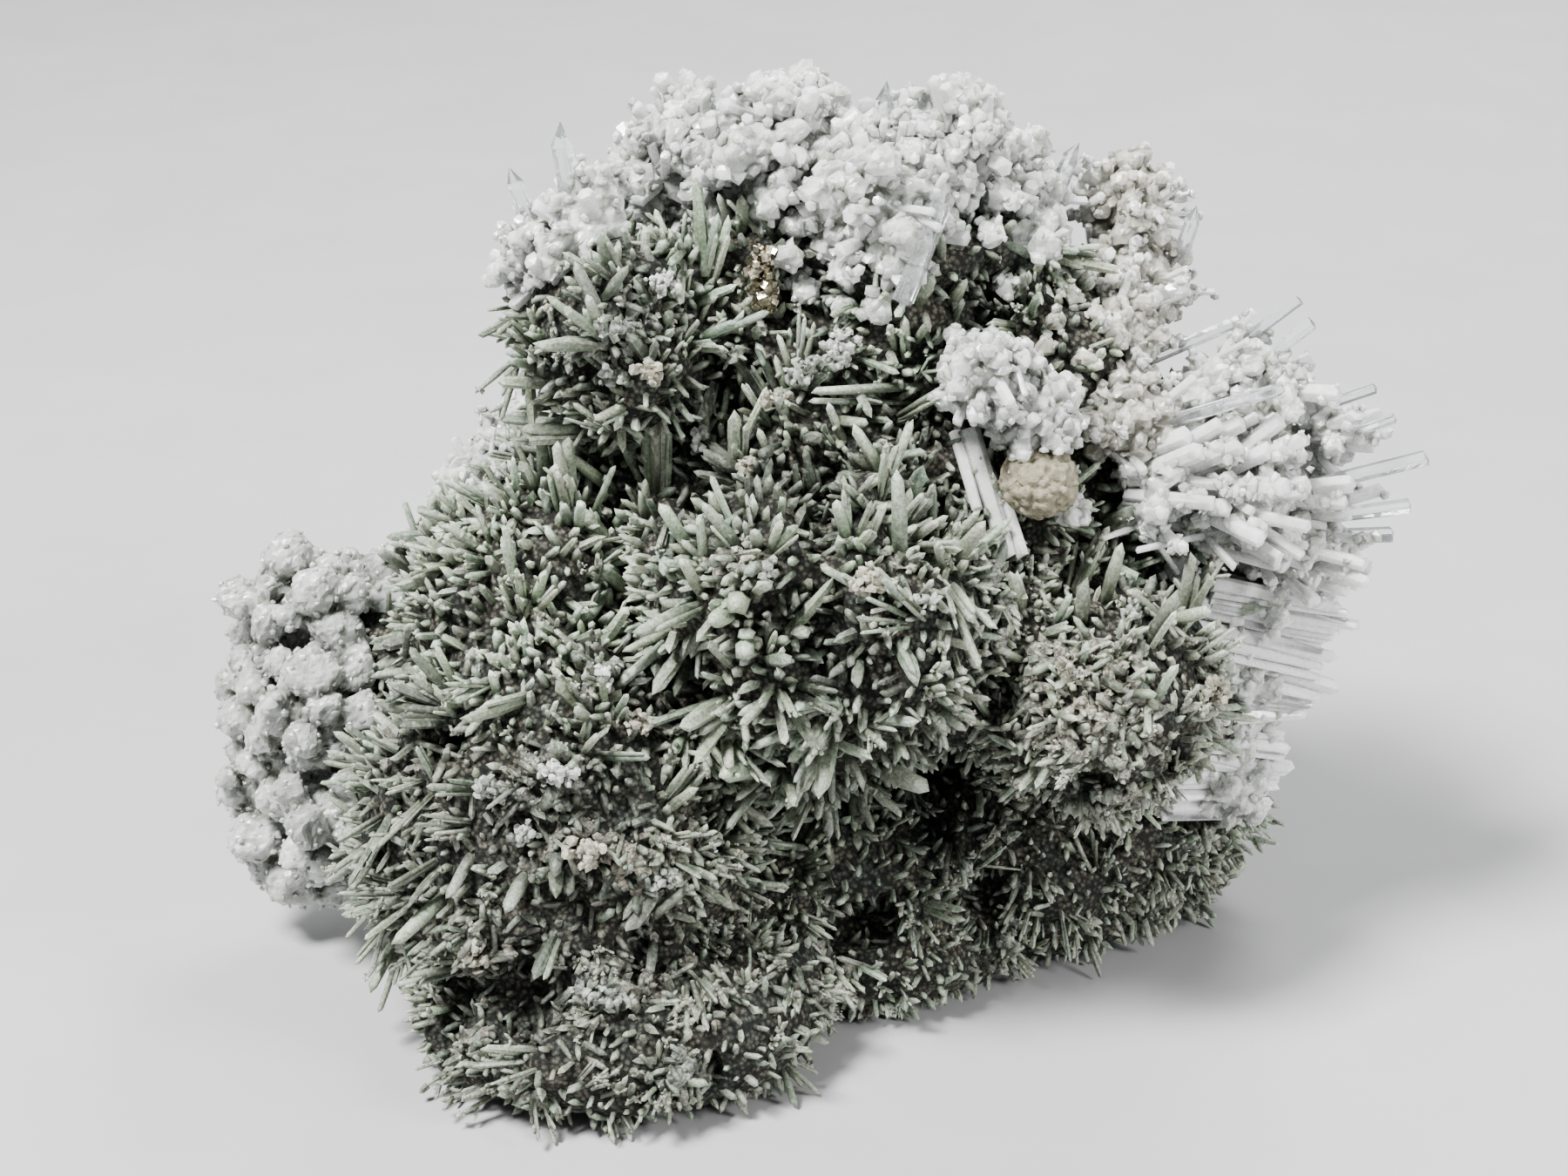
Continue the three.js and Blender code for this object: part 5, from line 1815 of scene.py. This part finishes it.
def dolomite_lump():
    """A tan lump with a sugary skin."""
    rng = draws("dolomite")
    centre, radii = DOLOMITE
    core = np.array(radii) * DOLOMITE_CORE
    field = LumpField(np.array(centre) - DOLOMITE_HALF, np.array(centre) + DOLOMITE_HALF, DOLOMITE_STEP)
    distance = ellipsoid_distance(grid_points(field.low, field.size, field.step), centre, core)
    field.values = np.minimum(distance, field.FAR)
    ball = unit_rows(rng.normal(size=(DOLOMITE_GRAINS, 3)))
    field.add_cut_lumps(centre + ball * core, rng.uniform(*DOLOMITE_GRAIN, len(ball)), rng, cuts=6)
    make_piece("dolomite_lump_sugary", field.mesh(), dolomite_look(), ["dolomite_lump"])


def pyrite_nugget():
    """Small bright cubes grown in a strip on the back of the hollow."""
    rng = draws("pyrite")
    low, high = np.array(PYRITE_STRIP)
    places = low + (high - low) * rng.random((PYRITE_CUBES, 1))
    places = places + rng.normal(0, PYRITE_STRAY, (PYRITE_CUBES, 3))
    corner = np.array([(x, y, z) for x in (-1, 1) for y in (-1, 1) for z in (-1, 1)]) / 2
    turn = random_turns(len(places), rng)
    size = rng.uniform(*PYRITE_SIZE, (PYRITE_CUBES, 1, 1))
    bodies = places[:, None] + size * np.einsum("kd,nde->nke", corner, turn)
    faces = np.array([(0, 1, 3, 2), (4, 6, 7, 5), (0, 4, 5, 1), (2, 3, 7, 6), (0, 2, 6, 4), (1, 5, 7, 3)])
    make_piece("pyrite_cubes", flatten(bodies, faces), pyrite_look(), ["pyrite_nugget"])


def clear_prisms(look):
    """The clear quartz, pointed and with flat ends, as one piece."""
    rng = draws("clear_prisms")
    pointed, faces, _ = crystals(*columns(CLEAR_PRISMS), rng, cone=1.6, rough=0.05, **POINTED_STUB)
    flat, _, _ = crystals(*columns(FLAT_PRISMS), rng, **BLUNT_END)
    mesh = join(flatten(pointed, faces), flatten(flat, faces))
    make_piece("clear_prisms", mesh, look, ["quartz_matrix"])


# ---------------------------------------------------------------------------------------------
# Camera, floor and light
# ---------------------------------------------------------------------------------------------


FLOOR_HALF = 3.0  # metres
FLOOR_GREYS = (0.47, 0.50)
FLOOR_PATCH = 40  # mm
LIGHT_AIM = (0, 0, 0.06)  # metres
LIGHTS = {
    "key": dict(place=(-0.5, -0.4, 1.08), size=0.3, power=32),
    "fill": dict(place=(0.95, -0.55, 0.6), size=0.35, power=11),
    "rim": dict(place=(0.3, 0.8, 0.8), size=0.6, power=9),
}
WORLD_COLOUR = (0.9, 0.95, 1.0, 1)
WORLD_STRENGTH = 0.21


def camera():
    """The camera of the photo frame."""
    data = bpy.data.cameras.new("camera")
    data.sensor_fit = "HORIZONTAL"
    data.sensor_width = SENSOR_WIDTH
    data.lens = PIXELS_PER_UNIT / PHOTO_SIZE[0] * SENSOR_WIDTH
    data.clip_start = CLIP_START
    data.clip_end = CLIP_END
    view = bpy.data.objects.new("camera", data)
    view.location = CAMERA_PLACE * MM
    view.rotation_euler = (math.pi / 2 - CAMERA_PITCH, 0, 0)
    bpy.context.scene.collection.objects.link(view)
    bpy.context.scene.camera = view


def floor():
    """A plain pale floor."""
    look = Look("floor")
    dark, light = FLOOR_GREYS
    look.set(Base_Color=look.ramp(look.noise(FLOOR_PATCH), (0.3, dark), (0.7, light)), Roughness=0.9)
    corners = [(x * FLOOR_HALF, y * FLOOR_HALF, 0) for x, y in ((-1, -1), (1, -1), (1, 1), (-1, 1))]
    mesh = bpy.data.meshes.new("floor")
    mesh.from_pydata(corners, [], [(0, 1, 2, 3)])
    mesh.materials.append(look.material)
    ground = bpy.data.objects.new("floor", mesh)
    bpy.context.scene.collection.objects.link(ground)


def area_light(name, place, size, power):
    """A square light at the place, in metres, that points at the block."""
    data = bpy.data.lights.new(name, "AREA")
    data.shape = "SQUARE"
    data.size = size
    data.energy = power
    light = bpy.data.objects.new(name, data)
    light.location = place
    way = Vector(LIGHT_AIM) - Vector(place)
    light.rotation_euler = way.to_track_quat("-Z", "Y").to_euler()
    bpy.context.scene.collection.objects.link(light)


def studio():
    """Soft lights and a dim even surround."""
    for name, light in LIGHTS.items():
        area_light(name, **light)
    world = bpy.data.worlds.new("world")
    world.use_nodes = True
    background = world.node_tree.nodes["Background"]
    background.inputs["Color"].default_value = WORLD_COLOUR
    background.inputs["Strength"].default_value = WORLD_STRENGTH
    bpy.context.scene.world = world
    bpy.context.scene.view_settings.look = "AgX - Medium High Contrast"


camera()
floor()
studio()
rock_mesh = rock()
green_needles(rock_mesh)
white = calcite_look("calcite", (0.88, 0.89, 0.87), (0.66, 0.68, 0.62))
milky = milky_quartz_look()
calcite_crusts(rock_mesh, white)
calcite_blades(milky)
dolomite_lump()
pyrite_nugget()
clear = clear_quartz_look()
milky_prisms(milky, white)
single_prisms(milky, white)
clear_prisms(clear)
